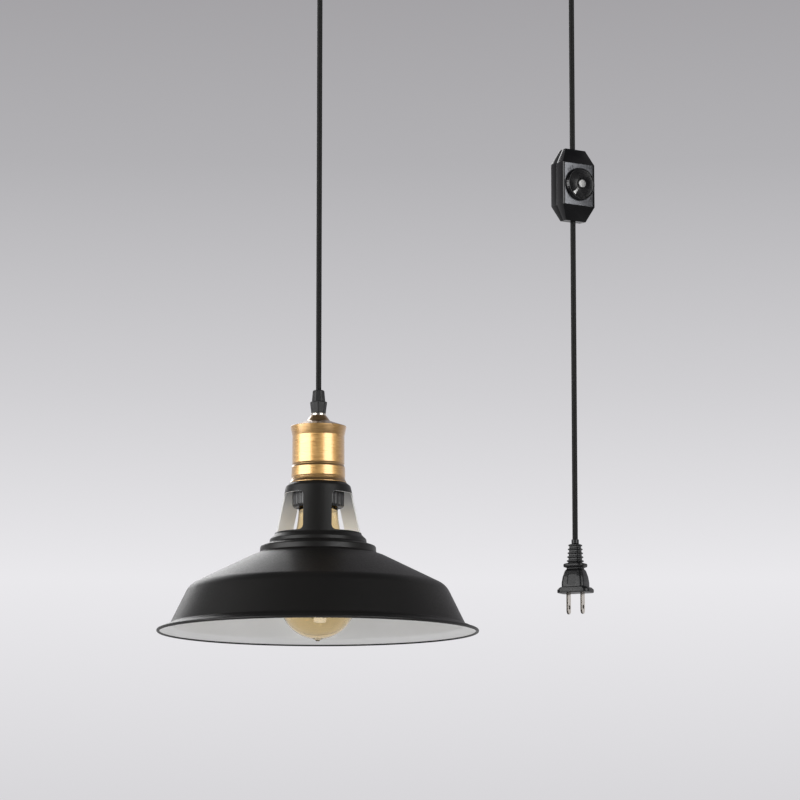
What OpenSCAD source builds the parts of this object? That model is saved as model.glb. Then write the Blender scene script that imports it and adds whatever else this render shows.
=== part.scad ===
// Plug-in pendant light: spun bell shade on an E26 holder with a metal cover, filament bulb,
// cloth-covered cord over two ceiling cups, in-line rotary dimmer and two-blade plug.
// Millimetres, +Z up. The origin is on the ceiling, on the lamp's own axis.

/* [Hanging lengths] */
// Ceiling to the rim of the shade
drop = 604; // [590:1:640]
// Lamp axis to the plug side of the cord
lead_x = 216; // [205:1:230]
// Height of the dimmer's middle above the rim of the shade
dimmer_up = 380; // [340:1:400]
// Height of the plug's face above the rim of the shade
plug_up = 32; // [20:1:60]

/* [Shade] */
// Radius over the rolled lip
shade_r = 135; // [125:1:145]
// Thickness of the spun sheet
sheet = 1.2; // [1.0:0.1:1.4]
// Width of each of the three neck ribs
rib_w = 24; // [20:1:26]
// Bottom of the neck windows, above the lip
window_low = 82; // [80:1:86]
// Top of the neck windows, above the lip
window_high = 115.5; // [110:0.5:116.5]

/* [Bulb] */
// Radius of the ST64 glass
bulb_r = 32; // [31:0.5:32.5]
// Radius of the E26 cap over its thread
cap_r = 13.12; // [13.1:0.01:13.14]

/* [Cord] */
// Diameter of the cloth-covered cord
cord_d = 4.6; // [4.4:0.1:4.7]

/* [Dimmer] */
// Width of the dimmer housing
dim_w = 32.8; // [29:0.1:33]
// Depth of the dimmer housing
dim_d = 18; // [17:0.5:20]
// Height of the dimmer housing
dim_h = 62; // [60:1:66]
// Turn of the dimmer about the cord
dim_turn = 33; // [0:1:90]
// Radius of the dimmer knob
knob_r = 14.1; // [13:0.1:14.5]
// Angle of the knob's pointer, anticlockwise from the right
pointer_turn = 229; // [180:1:240]

/* [Plug] */
// Length of the blades outside the plug
blade_l = 17.8; // [15.9:0.1:18.3]
// Turn of the plug about the cord
plug_turn = -26; // [-90:1:0]

/* [Ceiling cups] */
// Outer radius of each cup
cup_r = 27; // [26:0.5:32]
// Depth of each cup
cup_h = 34; // [34:1:36]
// Distance between the two fixing screws of each plate
fix_gap = 30; // [26:1:32]

/* [Hidden] */
$fn = 48;

cord_r = cord_d / 2;
rim_z = -drop;
cord_bore = cord_r + 0.1;      // bore that the cord passes through
ring_gap = 3 * cord_d;         // length of cord between two rings of its tube
cord_sides = 10;

// Heights above the rim, up the lamp's axis
shade_h = 124.5;                // top of the shade
holder_low = 104.5;             // mouth of the lampholder
shoulder_low = 124.5;           // the holder's shoulder sits on the shade
shoulder_high = 128.5;
core_low = 134;
core_high = 145.5;
holder_high = 152.5;
cap_high = 165.5;               // top of the lampholder's domed cap
cover_high = 182;              // top of the metal cover's cone
washer_t = 2;
grip_low = cover_high + washer_t;
grip_mid = grip_low + 10;
grip_high = grip_mid + 10;

holder_r = 19.3;
shell_r = cap_r + 0.08;        // running fit on the bulb's cap
nipple_r = 5;
nipple_bore = 3.2;

// The cord is held in each cup's gland; below this height it hangs free and swings
pivot_z = -44;
gland_low = -54;
swing_gap = 0.6;
bend_z = -27;                  // where the cord starts to turn over inside a cup

// Half of the cord between the cups, from the lamp's gland to the middle, as x and z
swag_half = [
    [0, -43.4], [0, -35], [0, -27], [1.5, -19.5], [5.5, -13.5], [11.5, -9.5], [19, -8],
    [28, -8.5], [42, -12], [58, -19], [74, -26.5], [91, -32], [lead_x / 2, -34]
];
swag_route = concat(swag_half, [for (i = [len(swag_half) - 2:-1:0])
    [lead_x - swag_half[i].x, swag_half[i].y]]);

dimmer_z = rim_z + dimmer_up;
plug_z = rim_z + plug_up;
plug_h = 45;                   // plug face to the top of its strain relief
cord_in = 8;                   // how far the cord reaches into the dimmer
wire_r = 0.8;
blade_gap = 12.7;              // standard distance between the two blades

// ---------- outlines and tubes ----------

function unit(v) = v / norm(v);

// Turns each corner [x, y, radius] of a line into an arc; steps is the number of chords
function rounded(p, steps = 6, closed = false) = [
    for (i = [0:len(p) - 1])
        let (last = len(p) - 1, here = [p[i].x, p[i].y],
             a = p[(i + last) % len(p)], b = p[(i + 1) % len(p)],
             to_a = unit([a.x, a.y] - here), to_b = unit([b.x, b.y] - here),
             end = !closed && (i == 0 || i == last),
             half = end ? 45 : acos(to_a * to_b) / 2,
             r = end ? 0 : p[i].z, back = r / tan(half),
             from = here + back * to_a, to = here + back * to_b)
        each r == 0 ? [here] : [for (k = [0:steps])
            let (t = k / steps, w = [(1 - t) * (1 - t), 2 * t * (1 - t) * sin(half), t * t])
            (w[0] * from + w[1] * here + w[2] * to) / (w[0] + w[1] + w[2])]
];

// The same line moved sideways by t, to its right
function beside(p, t) = [
    for (i = [0:len(p) - 1])
        let (a = p[max(i - 1, 0)], b = p[min(i + 1, len(p) - 1)],
             u = i == 0 ? unit(b - p[i]) : unit(p[i] - a),
             v = i == len(p) - 1 ? u : unit(b - p[i]), m = unit(u + v))
        p[i] + t / max(m * u, 0.5) * [m.y, -m.x]
];

function backwards(p) = [for (i = [len(p) - 1:-1:0]) p[i]];

// Catmull-Rom curve through the points, with chords of about the given length
function curve(p, step) = concat([
    for (i = [0:len(p) - 2])
        let (a = p[max(i - 1, 0)], b = p[i], c = p[i + 1], d = p[min(i + 2, len(p) - 1)],
             n = max(1, round(norm(c - b) / step)))
        for (k = [0:n - 1])
            let (t = k / n)
            0.5 * (2 * b + (c - a) * t + (2 * a - 5 * b + 4 * c - d) * t * t
                + (3 * b - a - 3 * c + d) * t * t * t)
], [p[len(p) - 1]]);

// Round tube along a line of points; each point's own upright is a direction across the line
module tube(line, uprights, r, sides) {
    n = len(line);
    points = [
        for (i = [0:n - 1])
            let (t = unit(line[min(i + 1, n - 1)] - line[max(i - 1, 0)]),
                 u = unit(cross(t, uprights[i])), v = cross(u, t))
            for (k = [0:sides - 1])
                let (a = 360 * k / sides)
                line[i] + r * cos(a) * u + r * sin(a) * v
    ];
    sides_of = [
        for (i = [0:n - 2]) for (k = [0:sides - 1])
            let (a = i * sides + k, b = i * sides + (k + 1) % sides)
            each [[a, a + sides, b + sides], [a, b + sides, b]]
    ];
    start = [for (k = [0:sides - 1]) k];
    end = [for (k = [sides - 1:-1:0]) (n - 1) * sides + k];
    polyhedron(points, concat(sides_of, [start, end]), convexity = 8);
}

// Cord or wire along a route of [x, z] points in the lamp's own plane
module flat_tube(route, r, sides, step) {
    line = [for (p = curve(route, step)) [p.x, 0, p.y]];
    tube(line, [for (p = line) [0, 1, 0]], r, sides);
}

// Straight cord between two heights
module straight_cord(x, low, high) {
    flat_tube([[x, low], [x, high]], cord_r, cord_sides, ring_gap);
}

module ring(r_out, r_in, low, high) {
    translate([0, 0, low]) difference() {
        cylinder(r = r_out, h = high - low);
        translate([0, 0, -1]) cylinder(r = r_in, h = high - low + 2);
    }
}

// Flat plate with rounded corners, standing on z = 0
module rounded_plate(w, d, h, r) {
    linear_extrude(h) polygon(rounded([
        [-w / 2, -d / 2, r], [w / 2, -d / 2, r], [w / 2, d / 2, r], [-w / 2, d / 2, r]
    ], steps = 4, closed = true));
}

module at_rim() { translate([0, 0, rim_z]) children(); }
module at_dimmer() { translate([lead_x, 0, dimmer_z]) rotate([0, 0, dim_turn]) children(); }
module at_plug() { translate([lead_x, 0, plug_z]) rotate([0, 0, plug_turn]) children(); }
module both_ways(shift) {
    for (side = [-1, 1]) translate(side * shift) children();
}

// ---------- shade and its ring ----------

// Outer face of the shade, from the lip up, as [radius, height, corner radius]
shade_line = rounded([
    [shade_r - 1, 0.4, 0], [shade_r - 6, 3.2, 3], [shade_r - 11, 5, 3], [108, 37.5, 16],
    [56, 63, 6], [49, 65.5, 1.2], [48.6, 71, 2], [41, 73.5, 1.2], [40.5, 77, 1.5],
    [36.8, 80.5, 2], [28.4, 116.6, 0], [27.2, 122, 3], [24, shade_h, 3], [20.1, shade_h, 0]
]);

module shade() {
    color("#1b1b1a") at_rim() difference() {
        union() {
            rotate_extrude($fn = 96) polygon(concat(shade_line, backwards(beside(shade_line, -sheet))));
            // rolled edge of the lip
            rotate_extrude($fn = 96) translate([shade_r - 1.3, 0]) circle(r = 1.3, $fn = 24);
        }
        for (a = [90, 210, 330]) rotate([0, 0, a]) window_cut();
    }
}

// Cuts one window outwards from the axis; its sides follow the straight ribs
module window_cut() {
    low_half = window_half(36.6);
    high_half = window_half(28.7);
    rotate([90, 0, 90]) translate([0, 0, 12]) linear_extrude(40) polygon(rounded([
        [-low_half, window_low, 4], [low_half, window_low, 4],
        [high_half, window_high, 4], [-high_half, window_high, 4]
    ], steps = 5, closed = true));
}

// Half of a window's width where the neck has radius r, seen along the window's middle
function window_half(r) =
    let (half = rib_w / 2) sqrt(r * r - half * half) * sin(60) - half * cos(60);

module shade_ring() {
    flutes = 30;
    ring_low = 104;
    ring_high = shade_h - sheet - 0.05;
    color("#161616") at_rim() difference() {
        ring(21.8, holder_r + 0.06, ring_low, ring_high);
        for (k = [0:flutes - 1]) rotate([0, 0, 360 * k / flutes])
            translate([22.2, 0, ring_low - 1]) cylinder(r = 0.9, h = 16, $fn = 16);
    }
}

// ---------- cover and lampholder ----------

cover_line = rounded([
    [24, 124.55, 0], [24, 124.9, 0.2], [22.9, 127, 2], [22.4, 129, 0.4], [22.7, 130.1, 0.6],
    [22.5, 137.8, 0.6], [21.6, 139.8, 0.5], [22.1, 141.1, 0.5], [22, 164.5, 3],
    [23.7, 172.8, 0.5], [10, 177.4, 2], [6.7, cover_high, 0.6], [nipple_r + 0.1, cover_high, 0]
], steps = 4);

module socket_cover() {
    color("#c8963c") at_rim() rotate_extrude($fn = 96)
        polygon(concat(cover_line, backwards(beside(cover_line, -0.8))));
}

module lampholder_body() {
    bore_r = shell_r + 0.4 + 0.05;
    color("#1a1a1a") at_rim() rotate_extrude() polygon([
        [17.2, holder_low], [holder_r, holder_low], [holder_r, shoulder_low],
        [21, shoulder_low], [21, shoulder_high], [holder_r, shoulder_high],
        [holder_r, holder_high], [18, holder_high], [18, core_low], [bore_r, core_low],
        [bore_r, 108.5]
    ]);
}

module lampholder_cap() {
    color("#1c1c1c") at_rim() rotate_extrude() polygon(concat(
        rounded([[holder_r, holder_high + 0.02, 0], [holder_r, 159.5, 4], [8.5, cap_high, 2],
                 [nipple_r + 0.02, cap_high, 0]]),
        [[nipple_r + 0.02, 158.5], [7, 158.5], [17.6, 155.5], [17.6, holder_high + 0.02]]));
}

module socket_core() {
    color("#e9e4d6") at_rim() difference() {
        ring(17.9, 1.6, core_low, core_high);
        for (a = [0, 180]) rotate([0, 0, a]) translate([9, 0, 138.5]) cylinder(r = 1.45, h = 8);
    }
}

module screw_shell() {
    color("#c9a24a") at_rim() {
        ring(shell_r + 0.4, shell_r, 108.5, core_low);
        // flange that the core clamps
        ring(shell_r + 0.4, 9, core_low - 0.4, core_low);
    }
}

module centre_contact() {
    color("#d2a84e") at_rim() {
        translate([0, 0, core_low - 0.9]) cylinder(r = 4, h = 0.6);
        translate([0, 0, core_low - 0.9]) cylinder(r = 1.55, h = 11.4);
    }
}

module terminal_screws() {
    color("#b9b9b4") at_rim() for (a = [0, 180]) rotate([0, 0, a]) translate([9, 0, 0]) {
        translate([0, 0, 139.5]) cylinder(r = 1.4, h = 9);
        difference() {
            translate([0, 0, 147.9]) cylinder(r = 2.6, h = 1.8);
            translate([-3, -0.4, 148.9]) cube([6, 0.8, 1]);
        }
    }
}

// One wire from the end of the cord to a terminal; side is +1 or -1
module holder_wire(side) {
    at_rim() flat_tube([[side * 1, 160.4], [side, 157], [side * 3.2, 152.5], [side * 4.6, 149.5],
        [side * 5.4, 147.4], [side * 6.6, 146.8]], wire_r, 8, 2.5);
}

module live_wire() { color("#101010") holder_wire(1); }
module neutral_wire() { color("#e8e8e4") holder_wire(-1); }

module hollow_nipple() {
    color("#c2b280") at_rim() ring(nipple_r, nipple_bore, 158.55, 190);
}

module nipple_nut() {
    color("#c2b280") at_rim() difference() {
        translate([0, 0, cap_high + 0.05]) cylinder(r = 8, h = 4, $fn = 6);
        translate([0, 0, cap_high - 1]) cylinder(r = nipple_r + 0.02, h = 7);
    }
}

module grip_washer() {
    color("#d7d7d5") at_rim() ring(6.35, nipple_r + 0.05, cover_high + 0.02, grip_low - 0.02);
}

module cord_grip_base() {
    color("#202020") at_rim() rotate_extrude() polygon(concat(
        rounded([[6.1, grip_low, 0], [7.2, grip_mid - 0.8, 0.5], [6.9, grip_mid, 0.3],
                 [5.2, grip_mid, 0]], steps = 3),
        [[cord_bore, grip_mid], [cord_bore, 190.1], [nipple_r + 0.02, 190.1],
         [nipple_r + 0.02, grip_low]]));
}

module cord_grip_cap() {
    color("#242424") at_rim() rotate_extrude() polygon(rounded([
        [cord_bore, grip_mid + 0.05, 0], [5.75, grip_mid + 0.05, 0.2], [4.9, grip_high - 0.6, 1.2],
        [3.6, grip_high, 0.4], [cord_bore, grip_high, 0]
    ], steps = 4));
}

// ---------- bulb ----------

glass = 0.8;
neck_r = 16.5;
widest_z = 25;                 // height of the glass's widest ring above the rim
neck_z = 105.5;

// Outer glass from the pip up to the neck; t is how far inside it the line runs
function bulb_line(t) = concat(
    [for (a = [-90:9:0]) [(bulb_r - t) * cos(a), widest_z + (bulb_r - t) * sin(a)]],
    [for (k = [1:12]) [neck_r - t + (bulb_r - neck_r) * (1 + cos(15 * k)) / 2,
                       widest_z + (neck_z - 2 - widest_z) * k / 12]]);

module bulb_envelope() {
    color([0.95, 0.8, 0.5, 0.4]) at_rim() {
        rotate_extrude($fn = 72) polygon(concat(bulb_line(0), backwards(bulb_line(glass))));
        // pip where the glass was sealed
        translate([0, 0, widest_z - bulb_r - 1.6]) cylinder(r1 = 1.2, r2 = 3.4, h = 2);
    }
}

module bulb_cap() {
    color("#c9a03e") at_rim() rotate_extrude() polygon([
        [neck_r - 1.2, 103.52], [neck_r, 103.52], [neck_r - 0.4, 104.5], [cap_r, 107],
        [cap_r, 128.5], [10.5, 130.7], [10.5, 129.9], [cap_r - 0.5, 128], [cap_r - 0.5, 107.3],
        [neck_r - 1.2, 104.5]
    ]);
}

module bulb_cap_insulator() {
    color("#15151a") at_rim() translate([0, 0, 129.95]) difference() {
        cylinder(r1 = 10.4, r2 = 6, h = 2.2);
        translate([0, 0, -1]) cylinder(r = 2, h = 5);
    }
}

module bulb_tip_contact() {
    color("#b8b8b4") at_rim() {
        translate([0, 0, 132.2]) cylinder(r = 4.6, h = 0.8);
        translate([0, 0, 130.1]) cylinder(r = 1.9, h = 2.2);
    }
}

rod_r = 1.6;
pinch_z = 68;                  // underside of the pinched glass

module bulb_stem() {
    color([0.9, 0.9, 0.85, 0.5]) at_rim() {
        // flare fused into the neck, pressed pinch, and the rod down the middle
        translate([0, 0, 90.5]) cylinder(r1 = 4, r2 = neck_r - glass - 0.1, h = 13);
        translate([0, 0, pinch_z]) cylinder(r = 4, h = 22.6);
        translate([0, 0, low_star[1]]) cylinder(r = rod_r, h = pinch_z + 2 - low_star[1]);
    }
}

// The filament runs up and down between two rings of hooks, each [radius, height]
low_star = [13, 12];
high_star = [9, 66];
strands = 7;                   // lower hooks; the upper points are one more
star_turn = 360 / (strands + 1);
support_r = 0.3;
filament_r = 0.2;

// Point at angle turn of a ring
function on_star(star, turn) = [star[0] * cos(turn), star[0] * sin(turn), star[1]];

// Thin rod between two points
module wire_between(a, b, r) {
    along = b - a;
    translate(a) rotate([0, acos(along.z / norm(along)), atan2(along.y, along.x)])
        cylinder(r = r, h = norm(along), $fn = 16);
}

// Support from the glass rod's hub out to just inside the filament
module support_wire(star, hub_z, turn) {
    hook = [star[0] - filament_r - 0.2, star[1]];
    wire_between(on_star([rod_r + 0.6, hub_z], turn), on_star(hook, turn), support_r);
}

module filament_supports() {
    color("#8a6a3a") at_rim() {
        ring(2.6, rod_r + 0.02, low_star[1], low_star[1] + 2);
        for (k = [0:strands - 1])
            support_wire(low_star, low_star[1] + 1, star_turn * (k + 0.5));
        ring(2.6, rod_r + 0.02, high_star[1] - 4, high_star[1] - 1.5);
        for (k = [1:strands - 1])
            support_wire(high_star, high_star[1] - 3, star_turn * k);
    }
}

// The two wires that feed the filament's ends, from the pinched glass
module lead_in_wires() {
    color("#9a7a45") at_rim() for (k = [0, strands])
        wire_between(on_star([3, pinch_z - 0.5], star_turn * k),
            on_star([high_star[0] - filament_r - 0.2, high_star[1]], star_turn * k), support_r);
}

// One bend of the filament over a hook; way is +1 over an upper hook and -1 under a lower one
function bend_over(star, turn, way) = [
    for (side = [-1, 0, 1])
        on_star([star[0], star[1] - way * 0.9 * abs(side)], turn + side * 32 / star[0])
];

module filament() {
    line = [for (k = [0:2 * strands])
        let (up = k % 2 == 0)
        each bend_over(up ? high_star : low_star, star_turn * k / 2, up ? 1 : -1)];
    color("#5b4030") at_rim() tube(line, [for (p = line) [p.x, p.y, 0]], filament_r, 6);
}

// ---------- cords ----------

module lamp_cord() {
    color("#0f0f0f") straight_cord(0, rim_z + 160.5, pivot_z - swing_gap);
}

module swag_cord() {
    color("#0f0f0f") flat_tube(swag_route, cord_r, cord_sides, ring_gap);
}

module dimmer_cord() {
    color("#0f0f0f") straight_cord(lead_x, dimmer_z + dim_h / 2 - cord_in, pivot_z - swing_gap);
}

module plug_cord() {
    color("#0f0f0f") straight_cord(lead_x, plug_z + plug_h - 15, dimmer_z - dim_h / 2 + cord_in);
}

// ---------- dimmer ----------

dim_wall = 1.8;
flat_h = 36.4;                 // height of the flat middle
end_w = 20.4;
end_d = 8.6;
plate_w = 28.8;
knob_y = -dim_d / 2 - 0.4;     // back of the knob

// Housing outline: an octagon from the front and from the side; inset moves every face inwards
module dimmer_block(inset) {
    w = dim_w / 2 - inset;
    d = dim_d / 2 - inset;
    e = end_w / 2 - inset * 0.7;
    f = end_d / 2 - inset * 0.7;
    top = dim_h / 2 - inset;
    mid = flat_h / 2 - inset * 0.3;
    intersection() {
        rotate([90, 0, 0]) translate([0, 0, -20]) linear_extrude(40) polygon([
            [-w, -mid], [-e, -top], [e, -top], [w, -mid], [w, mid], [e, top], [-e, top], [-w, mid]]);
        rotate([90, 0, 90]) translate([0, 0, -20]) linear_extrude(40) polygon([
            [-d, -mid], [-f, -top], [f, -top], [d, -mid], [d, mid], [f, top], [-f, top], [-d, mid]]);
    }
}

// Places the four screws that hold the halves together, pointing out of the back
module at_posts() {
    both_ways([0, 0, 16.3]) both_ways([11, 0, 0]) rotate([-90, 0, 0]) children();
}

// One half of the hollow housing; side is -1 for the front and +1 for the back
module dimmer_half(side) {
    post_l = dim_d / 2 - 1;
    difference() {
        union() {
            difference() {
                dimmer_block(0);
                dimmer_block(dim_wall);
            }
            at_posts() translate([0, 0, side < 0 ? -post_l : 0]) cylinder(r = 2.1, h = post_l);
        }
        translate([-25, side > 0 ? -29.98 : 0, -40]) cube([50, 30, 80]);
        translate([0, 0, -40]) cylinder(r = cord_bore, h = 80);
        at_posts() translate([0, 0, -5]) cylinder(r = 1.2, h = 20);
    }
}

module dimmer_front_shell() {
    color("#141414") at_dimmer() difference() {
        dimmer_half(-1);
        // shallow bed for the face plate, and the hole for the shaft
        translate([-plate_w / 2 - 0.2, -dim_d / 2 - 1, -flat_h / 2 - 0.1])
            cube([plate_w + 0.4, 1.5, flat_h + 0.2]);
        rotate([90, 0, 0]) cylinder(r = 3.6, h = 20);
    }
}

module dimmer_back_shell() {
    color("#141414") at_dimmer() dimmer_half(1);
}

module dimmer_face_plate() {
    color("#8c8c8e") at_dimmer() translate([0, -dim_d / 2 + 0.48, 0]) rotate([90, 0, 0]) difference() {
        translate([-plate_w / 2, -flat_h / 2, 0]) cube([plate_w, flat_h, 0.6]);
        translate([0, 0, -1]) cylinder(r = 3.6, h = 3);
    }
}

button_r = 3.7;
dish_z = 3.4;                  // floor of the knob's dished face, from its underside

module dimmer_knob() {
    color("#121212") at_dimmer() translate([0, knob_y, 0]) rotate([90, 0, 0]) difference() {
        rotate_extrude($fn = 72) polygon(rounded([
            [0, 0, 0], [knob_r, 0, 0.3], [knob_r, 1.3, 0.6], [13.3, 4.2, 0.3], [12.7, 4.2, 0.2],
            [12.4, dish_z, 0.2], [button_r + 0.6, dish_z, 0.2], [button_r + 0.5, 4.6, 0], [0, 4.6, 0]
        ], steps = 4));
        // bore on the shaft, seat of the button and bed of the pointer
        translate([0, 0, -1]) cylinder(r = 3.02, h = 4);
        translate([0, 0, 4]) cylinder(r = button_r + 0.05, h = 2);
        pointer_shape(0.05, dish_z - 0.32, 3);
    }
}

// Wedge that widens towards the edge of the knob
module pointer_shape(slack, low, h) {
    rotate([0, 0, pointer_turn]) translate([0, 0, low]) linear_extrude(h) polygon([
        [4.6 - slack, -0.6 - slack], [12.1 + slack, -1.6 - slack],
        [12.1 + slack, 1.6 + slack], [4.6 - slack, 0.6 + slack]]);
}

module knob_button() {
    color("#c9c9c9") at_dimmer() translate([0, knob_y, 0]) rotate([90, 0, 0])
        translate([0, 0, 4.02]) cylinder(r = button_r, h = 1);
}

module knob_pointer() {
    color("#c9c9c9") at_dimmer() translate([0, knob_y, 0]) rotate([90, 0, 0])
        pointer_shape(0, dish_z - 0.3, 1);
}

module dimmer_shaft() {
    color("#9a9a9a") at_dimmer() translate([0, knob_y - 2.9, 0]) rotate([-90, 0, 0])
        cylinder(r = 3, h = 6.35);
}

module potentiometer() {
    color("#3a5a3a") at_dimmer() translate([0, -5.9, 0]) rotate([-90, 0, 0]) cylinder(r = 8, h = 3.4);
}

module circuit_board() {
    color("#2f6b3a") at_dimmer() translate([-12, -2.45, -14]) cube([24, 1.6, 28]);
}

module triac() {
    color("#202022") at_dimmer() translate([-10, -0.8, -1]) {
        cube([10, 4.4, 9]);
        translate([0, 0, 9]) cube([10, 1.3, 6]);
    }
}

module choke_coil() {
    color("#a5622a") at_dimmer() translate([6, -0.8, 6]) rotate([-90, 0, 0]) difference() {
        cylinder(r = 5.4, h = 5);
        translate([0, 0, -1]) cylinder(r = 2.2, h = 7);
    }
}

module terminal_blocks() {
    color("#2d5fa0") at_dimmer() both_ways([5.5, 0, 0]) translate([-4, -0.8, -14]) difference() {
        cube([8, 5.5, 7]);
        translate([4, 2.8, -1]) cylinder(r = 1.3, h = 9);
    }
}

module cord_clamps() {
    color("#8f8f8f") at_dimmer() both_ways([0, 0, 25]) difference() {
        translate([-6, -cord_bore - 1.3, -1.8]) cube([12, 1.3, 3.6]);
        both_ways([4.4, 0, 0]) translate([0, 5, 0]) rotate([90, 0, 0]) cylinder(r = 0.8, h = 20);
    }
}

module dimmer_screws() {
    color("#777777") at_dimmer() at_posts() {
        translate([0, 0, -4.8]) cylinder(r = 1.15, h = dim_d / 2 + 4.9);
        translate([0, 0, dim_d / 2]) cylinder(r = 2.1, h = 0.6);
    }
}

// ---------- plug ----------

flange_h = 4.7;
bell_h = 20;
collar_h = 25.2;
ribs = 5;
rib_gap = 3.3;
bridge_w = 16.4;               // narrower than the bell, which closes round it

module plug_body() {
    color("#131313") at_plug() difference() {
        union() {
            rounded_plate(29, 17.5, flange_h, 4.5);
            hull() {
                translate([0, 0, flange_h - 1]) rounded_plate(20.4, 16.8, 0.5, 3);
                translate([0, 0, 13]) rounded_plate(19, 15.2, 0.5, 3);
                translate([0, 0, bell_h - 0.5]) rounded_plate(14.6, 10.8, 0.5, 2.5);
            }
            translate([0, 0, bell_h + 1.6]) rounded_plate(18.8, 14.6, collar_h - bell_h - 1.6, 4.5);
            hull() {
                translate([0, 0, bell_h - 1]) rounded_plate(11, 8.8, 0.5, 2);
                translate([0, 0, plug_h - 3.6]) rounded_plate(9, 6.8, 0.5, 2);
            }
            for (k = [0:ribs - 1])
                translate([0, 0, collar_h + 0.9 + rib_gap * k])
                    rounded_plate(12.6 - 0.5 * k, 10.8 - 0.45 * k, 1.5, 2.5);
            translate([0, 0, plug_h - 4]) cylinder(r = 3.1, h = 4);
        }
        translate([0, 0, plug_h - 15]) cylinder(r = cord_bore, h = 16);
        // room for the bridge and the blades
        translate([-bridge_w / 2 - 0.05, -4.05, 2]) cube([bridge_w + 0.1, 8.1, 8.1]);
        both_ways([blade_gap / 2, 0, 0]) translate([-0.8, -3.25, -1]) cube([1.6, 6.5, 5]);
        // sunk panels on the two broad faces
        for (a = [0, 180]) rotate([0, 0, a]) translate([-4, -9.4, 6.5]) cube([8, 1.8, 9]);
    }
}

module plug_bridge() {
    color("#d8d2c0") at_plug() difference() {
        translate([-bridge_w / 2, -4, 2.05]) cube([bridge_w, 8, 8]);
        both_ways([blade_gap / 2, 0, 0]) translate([-0.8, -3.25, 0]) cube([1.6, 6.5, 8]);
    }
}

// Flat blade with a round end and a hole; side is +1 or -1
module blade(side) {
    root = 7.9;
    hole_down = 11.9;
    w = 6.35;
    t = 1.5;
    translate([side * blade_gap / 2 - t / 2, 0, 0]) rotate([90, 0, 90]) difference() {
        union() {
            translate([-w / 2, -blade_l + w / 2]) cube([w, blade_l + root - w / 2, t]);
            translate([0, -blade_l + w / 2, 0]) cylinder(r = w / 2, h = t);
        }
        translate([0, -hole_down, -1]) cylinder(r = 1.6, h = t + 2);
    }
}

module live_blade() { color("#cfcac0") at_plug() blade(-1); }
module neutral_blade() { color("#cfcac0") at_plug() blade(1); }

// ---------- ceiling cups ----------

cup_wall = 1.5;
plate_t = 3;
lug_y = cup_r - cup_wall - 4.1;

// way is +1 at the lamp's cup and -1 at the lead's cup: the cord leaves each towards the other
module at_cup(way) { translate([way > 0 ? 0 : lead_x, 0, 0]) children(); }

module ceiling_plate(way) {
    color("#2a2a2a") at_cup(way) difference() {
        union() {
            translate([0, 0, -plate_t]) cylinder(r = cup_r - cup_wall - 0.2, h = plate_t);
            both_ways([0, lug_y, 0]) translate([-4, -2, -13]) cube([8, 4, 10.5]);
        }
        both_ways([0, fix_gap / 2, 0]) translate([0, 0, -20]) cylinder(r = 2.3, h = 21);
        both_ways([0, lug_y, 0]) translate([0, 10, -9]) rotate([90, 0, 0]) cylinder(r = 1.3, h = 20);
    }
}

module ceiling_cup(way) {
    color("#181818") at_cup(way) difference() {
        translate([0, 0, -cup_h]) cylinder(r = cup_r, h = cup_h, $fn = 96);
        translate([0, 0, -cup_h + 2]) cylinder(r = cup_r - cup_wall, h = cup_h, $fn = 96);
        translate([0, 0, -cup_h - 1]) cylinder(r = nipple_r + 0.1, h = 4);
        // slot where the cord leaves, open to the ceiling
        rotate([0, 0, way > 0 ? 0 : 180]) translate([15, -3, -11.6]) cube([20, 6, 12]);
        translate([0, 40, -9]) rotate([90, 0, 0]) cylinder(r = 1.6, h = 80);
    }
}

module cup_gland(way) {
    color("#1c1c1c") at_cup(way) difference() {
        rotate_extrude() polygon([
            [cord_bore, -28], [nipple_r, -28], [nipple_r, -cup_h - 0.02], [9, -cup_h - 0.02],
            [9, -cup_h - 2.5], [7.6, -cup_h - 3.2], [6.6, gland_low + 0.6], [6.2, gland_low],
            [5.3, gland_low], [cord_r + 0.5, pivot_z], [cord_bore, pivot_z + 0.5]
        ]);
        translate([0, 20, -40]) rotate([90, 0, 0]) cylinder(r = 1.5, h = 20);
    }
}

module gland_nut(way) {
    color("#c2b280") at_cup(way) translate([0, 0, -cup_h + 2.05]) difference() {
        cylinder(r = 8, h = 3.4, $fn = 6);
        translate([0, 0, -1]) cylinder(r = nipple_r + 0.02, h = 6);
    }
}

module clamp_screw(way) {
    color("#9a9a9a") at_cup(way) difference() {
        translate([0, cord_r + 0.05, -40]) rotate([-90, 0, 0]) cylinder(r = 1.48, h = 4.8);
        translate([-2, cord_r + 4.1, -40.3]) cube([4, 2, 0.6]);
    }
}

module cup_screws(way) {
    color("#9a9a9a") at_cup(way) for (a = [0, 180]) rotate([0, 0, a]) translate([0, 0, -9])
    rotate([-90, 0, 0]) {
        translate([0, 0, lug_y - 2]) cylinder(r = 1.25, h = cup_r - lug_y + 2.5);
        difference() {
            translate([0, 0, cup_r + 0.02]) cylinder(r = 2.6, h = 1.4);
            translate([-3, -0.3, cup_r + 0.9]) cube([6, 0.6, 1]);
        }
    }
}

module lamp_ceiling_plate() { ceiling_plate(1); }
module lead_ceiling_plate() { ceiling_plate(-1); }
module lamp_ceiling_cup() { ceiling_cup(1); }
module lead_ceiling_cup() { ceiling_cup(-1); }
module lamp_cup_gland() { cup_gland(1); }
module lead_cup_gland() { cup_gland(-1); }
module lamp_gland_nut() { gland_nut(1); }
module lead_gland_nut() { gland_nut(-1); }
module lamp_clamp_screw() { clamp_screw(1); }
module lead_clamp_screw() { clamp_screw(-1); }
module lamp_cup_screws() { cup_screws(1); }
module lead_cup_screws() { cup_screws(-1); }

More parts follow.
